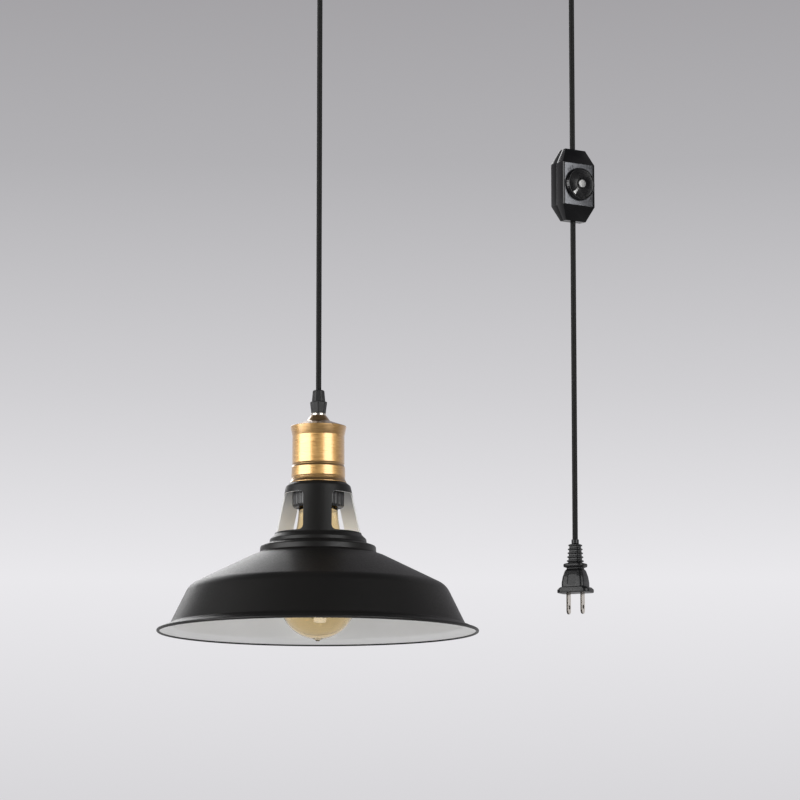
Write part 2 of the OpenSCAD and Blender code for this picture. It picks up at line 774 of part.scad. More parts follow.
shade();
shade_ring();
socket_cover();
lampholder_body();
lampholder_cap();
socket_core();
screw_shell();
centre_contact();
terminal_screws();
live_wire();
neutral_wire();
hollow_nipple();
nipple_nut();
grip_washer();
cord_grip_base();
cord_grip_cap();
bulb_envelope();
bulb_cap();
bulb_cap_insulator();
bulb_tip_contact();
bulb_stem();
filament_supports();
lead_in_wires();
filament();
lamp_cord();
swag_cord();
dimmer_cord();
plug_cord();
dimmer_front_shell();
dimmer_back_shell();
dimmer_face_plate();
dimmer_knob();
knob_button();
knob_pointer();
dimmer_shaft();
potentiometer();
circuit_board();
triac();
choke_coil();
terminal_blocks();
cord_clamps();
dimmer_screws();
plug_body();
plug_bridge();
live_blade();
neutral_blade();
lamp_ceiling_plate();
lead_ceiling_plate();
lamp_ceiling_cup();
lead_ceiling_cup();
lamp_cup_gland();
lead_cup_gland();
lamp_gland_nut();
lead_gland_nut();
lamp_clamp_screw();
lead_clamp_screw();
lamp_cup_screws();
lead_cup_screws();
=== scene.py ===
# Plug-in pendant light: spun metal bell shade, brass-covered lampholder, filament bulb,
# cloth-covered cord over two ceiling cups, in-line dimmer and moulded plug.
# Metres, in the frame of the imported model; outlines are written in millimetres.
import math

import bmesh
import bpy
import numpy as np
from mathutils import Matrix, Vector


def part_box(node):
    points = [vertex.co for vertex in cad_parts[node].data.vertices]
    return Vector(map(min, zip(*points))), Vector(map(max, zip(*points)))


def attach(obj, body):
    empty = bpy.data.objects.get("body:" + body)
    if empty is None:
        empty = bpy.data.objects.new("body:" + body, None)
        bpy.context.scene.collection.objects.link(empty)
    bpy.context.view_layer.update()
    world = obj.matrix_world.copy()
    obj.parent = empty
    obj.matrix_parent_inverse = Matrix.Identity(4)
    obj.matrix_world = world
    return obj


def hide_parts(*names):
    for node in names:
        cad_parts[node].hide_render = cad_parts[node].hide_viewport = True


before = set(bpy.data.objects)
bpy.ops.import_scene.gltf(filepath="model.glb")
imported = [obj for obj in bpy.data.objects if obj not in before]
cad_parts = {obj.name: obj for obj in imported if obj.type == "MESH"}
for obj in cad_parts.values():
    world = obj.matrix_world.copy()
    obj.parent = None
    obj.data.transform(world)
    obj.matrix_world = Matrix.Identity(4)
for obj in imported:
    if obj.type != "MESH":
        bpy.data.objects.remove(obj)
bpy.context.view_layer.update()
MM = 0.001

# ---------- places, all from the frame ----------

LIP_BEAD = 1.3                                  # radius of the rolled edge of the shade
rim_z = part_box("shade")[0].z + LIP_BEAD * MM    # height of the shade's rim
lead_x = sum(corner.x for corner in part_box("dimmer_cord")) / 2
dimmer_z = sum(corner.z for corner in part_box("dimmer_back_shell")) / 2
plug_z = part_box("plug_body")[0].z
DIMMER_TURN = math.radians(33)
PLUG_TURN = math.radians(-26)

RIM = Matrix.Translation((0, 0, rim_z))
DIMMER = Matrix.Translation((lead_x, 0, dimmer_z)) @ Matrix.Rotation(DIMMER_TURN, 4, "Z")
PLUG = Matrix.Translation((lead_x, 0, plug_z)) @ Matrix.Rotation(PLUG_TURN, 4, "Z")
CUPS = {"lamp": Matrix.Identity(4), "lead": Matrix.Translation((lead_x, 0, 0))}
CUP_TURN = {"lamp": 0.0, "lead": math.pi}       # the cord leaves each cup towards the other


# ---------- camera ----------

camera_data = bpy.data.cameras.new("camera")
camera = bpy.data.objects.new("camera", camera_data)
bpy.context.scene.collection.objects.link(camera)
bpy.context.scene.camera = camera
camera_data.sensor_width = 36
camera_data.lens = 168.5                        # a long lens, from about three metres off
camera.location = (0.0688, -3.128, rim_z - 0.283)
camera.rotation_euler = (math.radians(90 + 8.7), 0, 0)


# ---------- outlines ----------

def unit(vector):
    return vector / np.linalg.norm(vector)


def rounded(points, steps=8, closed=False):
    """Turns each corner (..., radius) of a line into an arc; it works in two dimensions or more."""
    line = []
    last = len(points) - 1
    for i, point in enumerate(points):
        here, radius = np.array(point[:-1], float), point[-1]
        if radius == 0 or (not closed and i in (0, last)):
            line.append(here)
            continue
        to_a = unit(np.array(points[i - 1][:-1], float) - here)
        to_b = unit(np.array(points[(i + 1) % len(points)][:-1], float) - here)
        half = math.acos(max(-1.0, min(1.0, float(to_a @ to_b)))) / 2
        back = radius / math.tan(half)
        start, end = here + back * to_a, here + back * to_b
        for t in np.linspace(0, 1, steps + 1):
            weights = ((1 - t) ** 2, 2 * t * (1 - t) * math.sin(half), t * t)
            mixed = weights[0] * start + weights[1] * here + weights[2] * end
            line.append(mixed / sum(weights))
    return line


def beside(line, distance):
    """The same line moved sideways, to its right."""
    moved = []
    for i, point in enumerate(line):
        ahead = unit(line[min(i + 1, len(line) - 1)] - line[i]) if i < len(line) - 1 else None
        behind = unit(point - line[i - 1]) if i > 0 else ahead
        ahead = behind if ahead is None else ahead
        middle = unit(ahead + behind)
        reach = distance / max(float(middle @ behind), 0.5)
        moved.append(point + reach * np.array((middle[1], -middle[0])))
    return moved


def rounded_box(width, depth, corner, steps=6):
    """Corners of a flat rectangle with rounded corners, the same number of points for any size."""
    w, d = width / 2, depth / 2
    return rounded([(-w, -d, corner), (w, -d, corner), (w, d, corner), (-w, d, corner)],
                   steps=steps, closed=True)


# ---------- meshes ----------

def new_piece(name, mesh, place, body, materials, stands_for=(), sharp=32):
    """Makes an object of a mesh in millimetres, puts it in place and lets it ride on a body."""
    mesh.transform(place @ Matrix.Scale(MM, 4))
    for polygon in mesh.polygons:
        polygon.use_smooth = True
    mesh.set_sharp_from_angle(angle=math.radians(sharp))
    piece = bpy.data.objects.new(name, mesh)
    bpy.context.scene.collection.objects.link(piece)
    for material in materials:
        mesh.materials.append(material)
    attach(piece, body)
    if stands_for:
        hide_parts(*stands_for)
    return piece


def mesh_of(faces_of_bmesh, name):
    """Closes a bmesh into a mesh with all its faces looking outwards."""
    bmesh.ops.remove_doubles(faces_of_bmesh, verts=faces_of_bmesh.verts, dist=1e-5)
    bmesh.ops.recalc_face_normals(faces_of_bmesh, faces=faces_of_bmesh.faces)
    mesh = bpy.data.meshes.new(name)
    faces_of_bmesh.to_mesh(mesh)
    faces_of_bmesh.free()
    return mesh


def join_rings(build, rings, closed=False):
    """Faces between each ring of vertices and the next; a ring of one vertex is a tip."""
    pairs = list(zip(rings, rings[1:]))
    if closed:
        pairs.append((rings[-1], rings[0]))
    for low, high in pairs:
        count = max(len(low), len(high))
        for k in range(count):
            corners = (low[k % len(low)], low[(k + 1) % len(low)],
                       high[(k + 1) % len(high)], high[k % len(high)])
            face = list(dict.fromkeys(corners))
            if len(face) > 2:
                build.faces.new(face)


def lathe(name, outline, sides=96, closed=True, wave=None):
    """Turns an outline of (radius, height) about the upright axis.

    wave(angle, radius, height) gives another radius, for flutes, flats and threads.
    """
    build = bmesh.new()
    rings = []
    for radius, height in outline:
        if radius < 1e-6:
            rings.append([build.verts.new((0, 0, height))])
            continue
        ring = []
        for k in range(sides):
            angle = 2 * math.pi * k / sides
            r = wave(angle, radius, height) if wave else radius
            ring.append(build.verts.new((r * math.cos(angle), r * math.sin(angle), height)))
        rings.append(ring)
    join_rings(build, rings, closed)
    return mesh_of(build, name)


def loft(name, levels, steps=6):
    """Skin over levels of (width, depth, corner radius, height), capped at both ends."""
    build = bmesh.new()
    rings = []
    for width, depth, corner, height in levels:
        ring = rounded_box(width, depth, corner, steps)
        rings.append([build.verts.new((x, y, height)) for x, y in ring])
    join_rings(build, rings)
    build.faces.new(rings[0])
    build.faces.new(rings[-1])
    return mesh_of(build, name)


def plate(name, outlines, thickness, edge=0.15, place=Matrix.Identity(4)):
    """Flat plate from z = 0 up, with rounded edges; outlines after the first are holes in it."""
    curve = bpy.data.curves.new(name, "CURVE")
    curve.dimensions = "2D"
    curve.fill_mode = "BOTH"
    curve.extrude = thickness / 2 - edge
    curve.bevel_depth = edge
    curve.bevel_resolution = 3
    curve.offset = -edge
    for outline in outlines:
        spline = curve.splines.new("POLY")
        spline.points.add(len(outline) - 1)
        spline.use_cyclic_u = True
        for point, (x, y) in zip(spline.points, outline):
            point.co = (x, y, 0, 1)
    holder = bpy.data.objects.new(name, curve)
    bpy.context.scene.collection.objects.link(holder)
    bpy.context.view_layer.update()
    made = bpy.data.meshes.new_from_object(holder.evaluated_get(
        bpy.context.evaluated_depsgraph_get()))
    bpy.data.objects.remove(holder)
    build = bmesh.new()
    build.from_mesh(made)
    bmesh.ops.remove_doubles(build, verts=build.verts, dist=1e-4)
    mesh = mesh_of(build, name)
    mesh.transform(place @ Matrix.Translation((0, 0, thickness / 2)))
    return mesh


def circle(radius, sides=48, x=0.0, y=0.0):
    turns = [2 * math.pi * k / sides for k in range(sides)]
    return [(x + radius * math.cos(a), y + radius * math.sin(a)) for a in turns]


def joined(name, meshes):
    """One mesh out of several; each keeps its faces' material numbers."""
    build = bmesh.new()
    for mesh in meshes:
        build.from_mesh(mesh)
    mesh = bpy.data.meshes.new(name)
    build.to_mesh(mesh)
    build.free()
    return mesh


def moved(mesh, matrix):
    mesh.transform(matrix)
    return mesh


def with_modifiers(name, mesh, *modifiers):
    """The mesh after modifiers, each (kind, settings)."""
    holder = bpy.data.objects.new(name, mesh)
    bpy.context.scene.collection.objects.link(holder)
    for kind, settings in modifiers:
        modifier = holder.modifiers.new(kind.lower(), kind)
        for key, value in settings.items():
            setattr(modifier, key, value)
    bpy.context.view_layer.update()
    made = bpy.data.meshes.new_from_object(holder.evaluated_get(
        bpy.context.evaluated_depsgraph_get()))
    bpy.data.objects.remove(holder)
    made.name = name
    return made


# ---------- cords ----------

CORD_R = 2.3
LEAD_TOP = -44.6                # height at which each hanging cord leaves its gland
BRAID_CARRIERS = 8              # yarn bundles each way round the cord
BRAID_LAY = 15.0                # length in which one bundle goes once round
BRAID_RELIEF = 0.22             # depth between two bundles


def cord_route(*points, step=3.0):
    """Catmull-Rom curve through (x, z) points, close enough together for its real length."""
    points = [np.array(p, float) for p in points]
    line = []
    for i in range(len(points) - 1):
        a, b = points[max(i - 1, 0)], points[i]
        c, d = points[i + 1], points[min(i + 2, len(points) - 1)]
        count = max(1, round(float(np.linalg.norm(c - b)) / step))
        for t in np.arange(count) / count:
            line.append(0.5 * (2 * b + (c - a) * t + (2 * a - 5 * b + 4 * c - d) * t * t
                               + (3 * b - a - 3 * c + d) * t ** 3))
    line.append(points[-1])
    return np.array(line)


def braid(around, along):
    """Height of the braid, 0 to 1: two families of round bundles, each over the other in turn."""
    share = BRAID_CARRIERS * around / (2 * math.pi)
    run = BRAID_CARRIERS * along / BRAID_LAY
    first, second = share + run, share - run
    over = (np.floor(first) + np.floor(second)) % 2
    bulge_first = np.sqrt(np.maximum(0, 1 - (2 * (first % 1) - 1) ** 2))
    bulge_second = np.sqrt(np.maximum(0, 1 - (2 * (second % 1) - 1) ** 2))
    return np.maximum(bulge_first * np.where(over > 0.5, 1.0, 0.55),
                      bulge_second * np.where(over > 0.5, 0.55, 1.0))


def cord_mesh(name, route, step=0.42, sides=40):
    """Braided cord along a route of (x, z) points; its braid is real relief on the tube."""
    lengths = np.concatenate(([0], np.cumsum(np.linalg.norm(np.diff(route, axis=0), axis=1))))
    count = int(lengths[-1] / step) + 1
    at = np.linspace(0, lengths[-1], count)
    centre = np.stack([np.interp(at, lengths, route[:, k]) for k in (0, 1)], axis=1)
    run = np.gradient(centre, axis=0)
    run /= np.linalg.norm(run, axis=1)[:, None]
    turns = np.arange(sides) * 2 * math.pi / sides
    relief = braid(turns[None, :], at[:, None])
    radius = CORD_R - BRAID_RELIEF * (1 - relief)
    across = radius * np.cos(turns)[None, :]
    points = np.stack([centre[:, 0:1] + across * run[:, 1:2],
                       radius * np.sin(turns)[None, :],
                       centre[:, 1:2] - across * run[:, 0:1]], axis=2).reshape(-1, 3)
    build = bpy.data.meshes.new(name)
    low = np.arange(count - 1)[:, None] * sides + np.arange(sides)[None, :]
    turned = np.arange(count - 1)[:, None] * sides + (np.arange(sides)[None, :] + 1) % sides
    quads = np.stack([low, low + sides, turned + sides, turned], axis=2).reshape(-1, 4)
    ends = [tuple(range(sides)), tuple(range((count - 1) * sides, count * sides))[::-1]]
    build.from_pydata(points.tolist(), [], quads.tolist() + ends)
    height = build.attributes.new("braid_height", "FLOAT", "POINT")
    height.data.foreach_set("value", relief.astype(np.float32).ravel())
    build.update()
    return build


def cord_piece(name, body, route, material):
    """A braided cord that stands for its plain tube in the frame."""
    piece = new_piece(name + "_braided", cord_mesh(name, route), Matrix.Identity(4), body,
                      [material], [name], sharp=180)
    return piece


# ---------- materials ----------

def colour(hex_value):
    """sRGB hex to linear, with alpha."""
    parts = [int(hex_value[i:i + 2], 16) / 255 for i in (1, 3, 5)]
    linear = [p / 12.92 if p <= 0.04045 else ((p + 0.055) / 1.055) ** 2.4 for p in parts]
    return (*linear, 1.0)


def add(tree, kind, inputs=None, **settings):
    """Adds a node with its settings; inputs are values, or other nodes' outputs to link."""
    node = tree.nodes.new(kind)
    for key, value in settings.items():
        setattr(node, key, value)
    for socket, value in (inputs or {}).items():
        if isinstance(value, bpy.types.NodeSocket):
            tree.links.new(value, node.inputs[socket])
        else:
            node.inputs[socket].default_value = value
    return node


def shaded(name, base, roughness, **sockets):
    """A material whose even values sit on the shader's own sockets."""
    material = bpy.data.materials.new(name)
    material.use_nodes = True
    shader = material.node_tree.nodes["Principled BSDF"]
    shader.inputs["Base Color"].default_value = colour(base)
    shader.inputs["Roughness"].default_value = roughness
    for socket, value in sockets.items():
        shader.inputs[socket.replace("_", " ").title().replace("Ior", "IOR")].default_value = value
    return material, material.node_tree, shader


def per_mm(size):
    """Pattern scale that gives one wave in this many millimetres."""
    return 1000 / size


def grain(tree, size, detail=3.0, stretch=(1, 1, 1), roughness=0.55):
    """Noise on the object's own coordinates, one wave in size millimetres."""
    place = add(tree, "ShaderNodeTexCoord")
    scaled = add(tree, "ShaderNodeMapping", {"Vector": place.outputs["Object"], "Scale": stretch})
    return add(tree, "ShaderNodeTexNoise", {
        "Vector": scaled.outputs["Vector"], "Scale": per_mm(size), "Detail": detail,
        "Roughness": roughness}).outputs["Fac"]


def between(tree, share, low, high, from_low=0.3, from_high=0.7):
    """A value that goes from low to high as share goes from from_low to from_high."""
    return add(tree, "ShaderNodeMapRange", {
        "Value": share, "From Min": from_low, "From Max": from_high, "To Min": low,
        "To Max": high}).outputs["Result"]


def tinted(tree, share, first, second, low=0.3, high=0.7):
    """A colour between two, by share."""
    level = between(tree, share, 0.0, 1.0, low, high)
    return add(tree, "ShaderNodeMix", {0: level, 6: colour(first), 7: colour(second)},
               data_type="RGBA").outputs[2]


def relief(tree, shader, height, depth, socket="Normal"):
    """Bump of a depth in millimetres."""
    bump = add(tree, "ShaderNodeBump", {"Height": height, "Distance": depth * MM, "Strength": 1.0})
    tree.links.new(bump.outputs["Normal"], shader.inputs[socket])


def powder_coat_black():
    # Satin polyester powder on spun steel: a deep warm black with a very fine orange peel
    material, tree, shader = shaded("powder_coat_black", "#12110f", 0.42, ior=1.5,
                                    specular_ior_level=0.36)
    peel = grain(tree, 1.6, detail=2.0)
    fine = grain(tree, 0.35, detail=1.0)
    tree.links.new(between(tree, peel, 0.37, 0.47), shader.inputs["Roughness"])
    tree.links.new(tinted(tree, grain(tree, 60), "#100f0e", "#151412"),
                   shader.inputs["Base Color"])
    both = add(tree, "ShaderNodeMath", {0: peel, 1: fine}, operation="ADD").outputs[0]
    relief(tree, shader, both, 0.012)
    return material


def stoved_enamel_white():
    # Stoved white enamel on the inside: clean and softly glossy, barely uneven
    material, tree, shader = shaded("stoved_enamel_white", "#f1f1ef", 0.34, ior=1.5)
    tree.links.new(tinted(tree, grain(tree, 40), "#eeeeec", "#f4f4f3"),
                   shader.inputs["Base Color"])
    relief(tree, shader, grain(tree, 1.8, detail=2.0), 0.01)
    return material


def brushed_antique_brass():
    # Brass turned and brushed round its axis, then lacquered an antique gold: the streaks run
    # round the cover and stretch each highlight into an upright band
    material, tree, shader = shaded("brushed_antique_brass", "#c79c58", 0.3, metallic=1.0,
                                    anisotropic=0.75, coat_weight=1.0, coat_roughness=0.2,
                                    coat_ior=1.7)
    tangent = add(tree, "ShaderNodeTangent", direction_type="RADIAL", axis="Z")
    tree.links.new(tangent.outputs["Tangent"], shader.inputs["Tangent"])
    # streaks are drawn about 0.5 mm apart, coarser than the real ones so that they show
    streaks = grain(tree, 8.0, detail=4.0, stretch=(1, 1, 16))
    tree.links.new(tinted(tree, streaks, "#a97c3f", "#d2aa6c", 0.2, 0.8),
                   shader.inputs["Base Color"])
    tree.links.new(between(tree, streaks, 0.26, 0.4), shader.inputs["Roughness"])
    relief(tree, shader, streaks, 0.006)
    return material


def rolled_brass():
    # Thin brass sheet rolled into a thread: yellow, fairly bright, slightly tarnished
    material, tree, shader = shaded("rolled_brass", "#c9a24c", 0.28, metallic=1.0)
    tarnish = grain(tree, 5.0, detail=5.0)
    tree.links.new(tinted(tree, tarnish, "#a67a30", "#d3ae5c"), shader.inputs["Base Color"])
    tree.links.new(between(tree, tarnish, 0.36, 0.22), shader.inputs["Roughness"])
    return material


def phenolic_black():
    # Pressed phenolic: hard, dark, with a dull even gloss and a faint flow pattern
    material, tree, shader = shaded("phenolic_black", "#171615", 0.36, ior=1.6)
    flow = grain(tree, 3.5, detail=4.0)
    tree.links.new(tinted(tree, flow, "#131211", "#1c1b1a"), shader.inputs["Base Color"])
    tree.links.new(between(tree, flow, 0.3, 0.42), shader.inputs["Roughness"])
    relief(tree, shader, grain(tree, 0.5), 0.01)
    return material


def grip_nylon():
    # Moulded nylon with a fine spark-eroded texture: charcoal, matt, catching light softly
    material, tree, shader = shaded("grip_nylon", "#232324", 0.55, ior=1.53)
    texture = grain(tree, 0.45, detail=2.0)
    tree.links.new(tinted(tree, grain(tree, 2.0), "#131314", "#1b1b1c"),
                   shader.inputs["Base Color"])
    tree.links.new(between(tree, texture, 0.46, 0.62), shader.inputs["Roughness"])
    relief(tree, shader, texture, 0.03)
    return material


def steatite():
    # Pressed and fired steatite: cream white, dry, very slightly speckled
    material, tree, shader = shaded("steatite", "#e8e2d3", 0.6, ior=1.55)
    speckle = grain(tree, 0.9, detail=3.0)
    tree.links.new(tinted(tree, speckle, "#ddd5c3", "#eee9dd"), shader.inputs["Base Color"])
    relief(tree, shader, speckle, 0.015)
    return material


def nickel_plate():
    # Nickel plate on rolled brass: bright, warm grey, with fine lengthwise rolling marks
    material, tree, shader = shaded("nickel_plate", "#c9c3ba", 0.22, metallic=1.0)
    marks = grain(tree, 2.4, detail=4.0, stretch=(6, 6, 0.6))
    tree.links.new(tinted(tree, marks, "#bcb5ab", "#d6d1c9"), shader.inputs["Base Color"])
    tree.links.new(between(tree, marks, 0.16, 0.32), shader.inputs["Roughness"])
    return material


def sheared_edge():
    # Edge of the blade where it was sheared from its strip: dull, dark and slightly torn
    material, tree, shader = shaded("sheared_edge", "#4c4843", 0.5, metallic=1.0)
    tears = grain(tree, 1.5, detail=4.0, stretch=(1, 5, 1))
    tree.links.new(tinted(tree, tears, "#3a3733", "#5f5a54"), shader.inputs["Base Color"])
    relief(tree, shader, tears, 0.02)
    return material


def zinc_plate():
    # Zinc-plated and passivated steel: pale grey with a faint yellow bloom
    material, tree, shader = shaded("zinc_plate", "#b9b7ad", 0.34, metallic=1.0)
    bloom = grain(tree, 3.0, detail=4.0)
    tree.links.new(tinted(tree, bloom, "#aaa797", "#c6c5bf"), shader.inputs["Base Color"])
    tree.links.new(between(tree, bloom, 0.28, 0.44), shader.inputs["Roughness"])
    return material


def machined_steel():
    # Cold-headed steel screws: mid grey with fine turning marks
    material, tree, shader = shaded("machined_steel", "#9c9c9a", 0.32, metallic=1.0)
    marks = grain(tree, 0.8, detail=3.0)
    tree.links.new(tinted(tree, marks, "#8b8b89", "#adadab"), shader.inputs["Base Color"])
    tree.links.new(between(tree, marks, 0.24, 0.4), shader.inputs["Roughness"])
    return material


def blown_glass(name, tint, roughness):
    # Blown lamp glass: clear with a warm tint, its wall a little uneven so that highlights waver
    material, tree, shader = shaded(name, tint, roughness, ior=1.51, transmission_weight=1.0)
    relief(tree, shader, grain(tree, 14.0, detail=1.0), 0.05)
    return material


def fused_insulator():
    # Black vitrite fused into the cap: glassy with small bubbles
    material, tree, shader = shaded("fused_insulator", "#101013", 0.12, ior=1.55)
    relief(tree, shader, grain(tree, 0.7), 0.02)
    return material


def solder_dome():
    # Tin solder: pale, slightly rippled where it froze
    material, tree, shader = shaded("solder_dome", "#b4b3ad", 0.3, metallic=1.0)
    ripple = grain(tree, 1.4, detail=3.0)
    tree.links.new(between(tree, ripple, 0.22, 0.42), shader.inputs["Roughness"])
    relief(tree, shader, ripple, 0.05)
    return material


def drawn_wire(name, dark, light, roughness):
    # Drawn wire: a thin bright line with darker stretches
    material, tree, shader = shaded(name, light, roughness, metallic=1.0)
    tree.links.new(tinted(tree, grain(tree, 2.0), dark, light), shader.inputs["Base Color"])
    return material


def pvc_wire(name, dark, light):
    # Extruded PVC insulation: smooth, even, softly glossy
    material, tree, shader = shaded(name, light, 0.4, ior=1.53)
    tree.links.new(tinted(tree, grain(tree, 3.0), dark, light), shader.inputs["Base Color"])
    return material


def braided_cotton():
    # Braided cotton and rayon yarn: dull black, its crossings glossier; painted shade darkens the
    # colour down between the bundles and leaves the crossings a little greyer
    material, tree, shader = shaded("braided_cotton", "#131312", 0.7, ior=1.5,
                                    sheen_weight=0.05, sheen_roughness=0.5,
                                    specular_ior_level=0.25)
    height = add(tree, "ShaderNodeAttribute", attribute_name="braid_height").outputs["Fac"]
    fibre = grain(tree, 0.3, detail=2.0)
    # painted shade: the colour follows the braid's height, darkest down between the bundles
    braid_shade = add(tree, "ShaderNodeMath", {0: height, 1: fibre}, operation="MULTIPLY").outputs[0]
    tree.links.new(tinted(tree, braid_shade, "#040404", "#11100e", 0.1, 0.6),
                   shader.inputs["Base Color"])
    tree.links.new(between(tree, height, 0.85, 0.55, 0.0, 1.0), shader.inputs["Roughness"])
    relief(tree, shader, fibre, 0.05)
    return material


def polished_abs():
    # Polished black ABS: deep gloss with a few hair scratches and soft sink marks
    material, tree, shader = shaded("polished_abs", "#09090a", 0.16, ior=1.53,
                                    specular_ior_level=0.4)
    tree.links.new(between(tree, grain(tree, 9.0, detail=5.0), 0.12, 0.24),
                   shader.inputs["Roughness"])
    tree.links.new(tinted(tree, grain(tree, 5.0), "#08080a", "#0c0c0d"),
                   shader.inputs["Base Color"])
    relief(tree, shader, grain(tree, 11.0, detail=1.0), 0.03)
    return material


def brushed_plate():
    # Thin aluminium face plate brushed along its length and clear-lacquered: mid grey, streaky
    material, tree, shader = shaded("brushed_plate", "#646568", 0.36, metallic=1.0)
    # streaks are drawn about 0.4 mm apart so that they show
    streaks = grain(tree, 6.0, detail=4.0, stretch=(14, 14, 0.8))
    tree.links.new(tinted(tree, streaks, "#525356", "#77787b", 0.25, 0.75),
                   shader.inputs["Base Color"])
    tree.links.new(between(tree, streaks, 0.3, 0.46), shader.inputs["Roughness"])
    relief(tree, shader, streaks, 0.008)
    return material


def spun_silver():
    # Silver-coloured knob trim: satin, with fine rings
    material, tree, shader = shaded("spun_silver", "#c3c3c2", 0.3, metallic=1.0)
    marks = grain(tree, 1.2, detail=3.0)
    tree.links.new(between(tree, marks, 0.22, 0.4), shader.inputs["Roughness"])
    tree.links.new(tinted(tree, marks, "#8c8c8b", "#aaaaa9"), shader.inputs["Base Color"])
    return material


def moulded_pvc():
    # Soft black PVC moulded over the plug: satin, with a fine mould texture
    material, tree, shader = shaded("moulded_pvc", "#0d0d0e", 0.34, ior=1.53,
                                    specular_ior_level=0.35)
    texture = grain(tree, 0.8, detail=3.0)
    tree.links.new(between(tree, texture, 0.28, 0.42), shader.inputs["Roughness"])
    tree.links.new(tinted(tree, grain(tree, 6.0), "#0b0b0c", "#101011"),
                   shader.inputs["Base Color"])
    relief(tree, shader, texture, 0.015)
    return material


def printed_ink():
    # Pad-printed ink on the face plate: flat black
    material, tree, shader = shaded("printed_ink", "#0b0b0b", 0.5)
    tree.links.new(between(tree, grain(tree, 0.6), 0.42, 0.6), shader.inputs["Roughness"])
    return material


def moulded_plastic(name, dark, light, roughness=0.45):
    # Small injection-moulded part: even colour with a light texture
    material, tree, shader = shaded(name, light, roughness, ior=1.5)
    tree.links.new(tinted(tree, grain(tree, 2.0), dark, light), shader.inputs["Base Color"])
    relief(tree, shader, grain(tree, 0.6), 0.01)
    return material


def solder_mask():
    # Circuit board under green solder mask: glossy, with the copper tracks showing through
    material, tree, shader = shaded("solder_mask", "#1f5a2e", 0.3, ior=1.55)
    tracks = grain(tree, 3.0, detail=0.0)
    tree.links.new(tinted(tree, tracks, "#1a4f28", "#3b7a3c", 0.48, 0.52),
                   shader.inputs["Base Color"])
    return material


def enamelled_copper():
    # Enamelled copper winding: orange-brown turns side by side, 0.5 mm apart
    material, tree, shader = shaded("enamelled_copper", "#9a4f24", 0.25, metallic=1.0)
    place = add(tree, "ShaderNodeTexCoord")
    turns = add(tree, "ShaderNodeTexWave", {"Vector": place.outputs["Object"],
                                            "Scale": per_mm(0.5) / 20}).outputs["Fac"]
    # painted shade: each turn is coloured darker where its bump dips, in the grooves between turns
    tree.links.new(tinted(tree, turns, "#6e3214", "#b8682f"), shader.inputs["Base Color"])
    relief(tree, shader, turns, 0.1)
    return material


COAT = powder_coat_black()
ENAMEL = stoved_enamel_white()
COVER_BRASS = brushed_antique_brass()
BRASS = rolled_brass()
PHENOLIC = phenolic_black()
NYLON = grip_nylon()
STEATITE = steatite()
NICKEL = nickel_plate()
SHEARED = sheared_edge()
ZINC = zinc_plate()
STEEL = machined_steel()
AMBER = blown_glass("amber_blown_glass", "#fbeccb", 0.0)
CLEAR = blown_glass("clear_blown_glass", "#fbf7ee", 0.02)
VITRITE = fused_insulator()
SOLDER = solder_dome()
SUPPORT = drawn_wire("molybdenum_wire", "#5f4a2c", "#8f7447", 0.4)
FILAMENT = drawn_wire("carbon_filament", "#3c2416", "#7d5130", 0.5)
BLACK_WIRE = pvc_wire("black_wire", "#0d0d0d", "#161616")
WHITE_WIRE = pvc_wire("white_wire", "#dcdcd8", "#efefec")
COTTON = braided_cotton()
ABS = polished_abs()
PLATE = brushed_plate()
SILVER = spun_silver()
PVC = moulded_pvc()
INK = printed_ink()
POT = moulded_plastic("control_case", "#2b4a33", "#34573c")
EPOXY = moulded_plastic("epoxy_case", "#161618", "#1f1f22")
TERMINAL = moulded_plastic("terminal_nylon", "#24507f", "#2c6096")
BRIDGE = moulded_plastic("bridge_nylon", "#cbc4b0", "#dcd6c4")
BOARD = solder_mask()
COPPER = enamelled_copper()


# ---------- cord pieces ----------

CORD_OUT_Z = rim_z / MM + 160.5           # the lamp cord's end inside the holder's cap
dimmer_mm, plug_mm, lead_mm = dimmer_z / MM, plug_z / MM, lead_x / MM

swag_half = [(0, -43.4), (0, -35), (0, -27), (1.5, -19.5), (5.5, -13.5), (11.5, -9.5), (19, -8),
             (28, -8.5), (42, -12), (58, -19), (74, -26.5), (91, -32), (108, -34)]
swag = swag_half + [(lead_mm - x, z) for x, z in swag_half[-2::-1]]

lamp_cord = cord_piece(
    "lamp_cord", "pendant", cord_route((0, LEAD_TOP), (0, CORD_OUT_Z)),
    COTTON)
swag_cord = cord_piece("swag_cord", "ceiling", cord_route(*swag),
                       COTTON)
dimmer_cord = cord_piece(
    "dimmer_cord", "lead", cord_route((lead_mm, LEAD_TOP), (lead_mm, dimmer_mm + 23)),
    COTTON)
plug_cord = cord_piece(
    "plug_cord", "lead", cord_route((lead_mm, dimmer_mm - 23), (lead_mm, plug_mm + 30)),
    COTTON)

# ---------- shade ----------

SHEET = 1.2
RIB = 24.0
WINDOW_LOW, WINDOW_HIGH, WINDOW_CORNER = 82.0, 115.5, 4.0
SHADE_R, SHADE_H = 135.0, 124.5

shade_line = rounded([
    (134, 0.4, 0), (129, 3.2, 3), (124, 5, 3), (108, 37.5, 16), (56, 63, 6), (49, 65.5, 1.2),
    (48.6, 71, 2), (41, 73.5, 1.2), (40.5, 77, 1.5), (36.8, 80.5, 2), (28.4, 116.6, 0),
    (27.2, 122, 3), (24, SHADE_H, 3), (20.1, SHADE_H, 0)], steps=10)


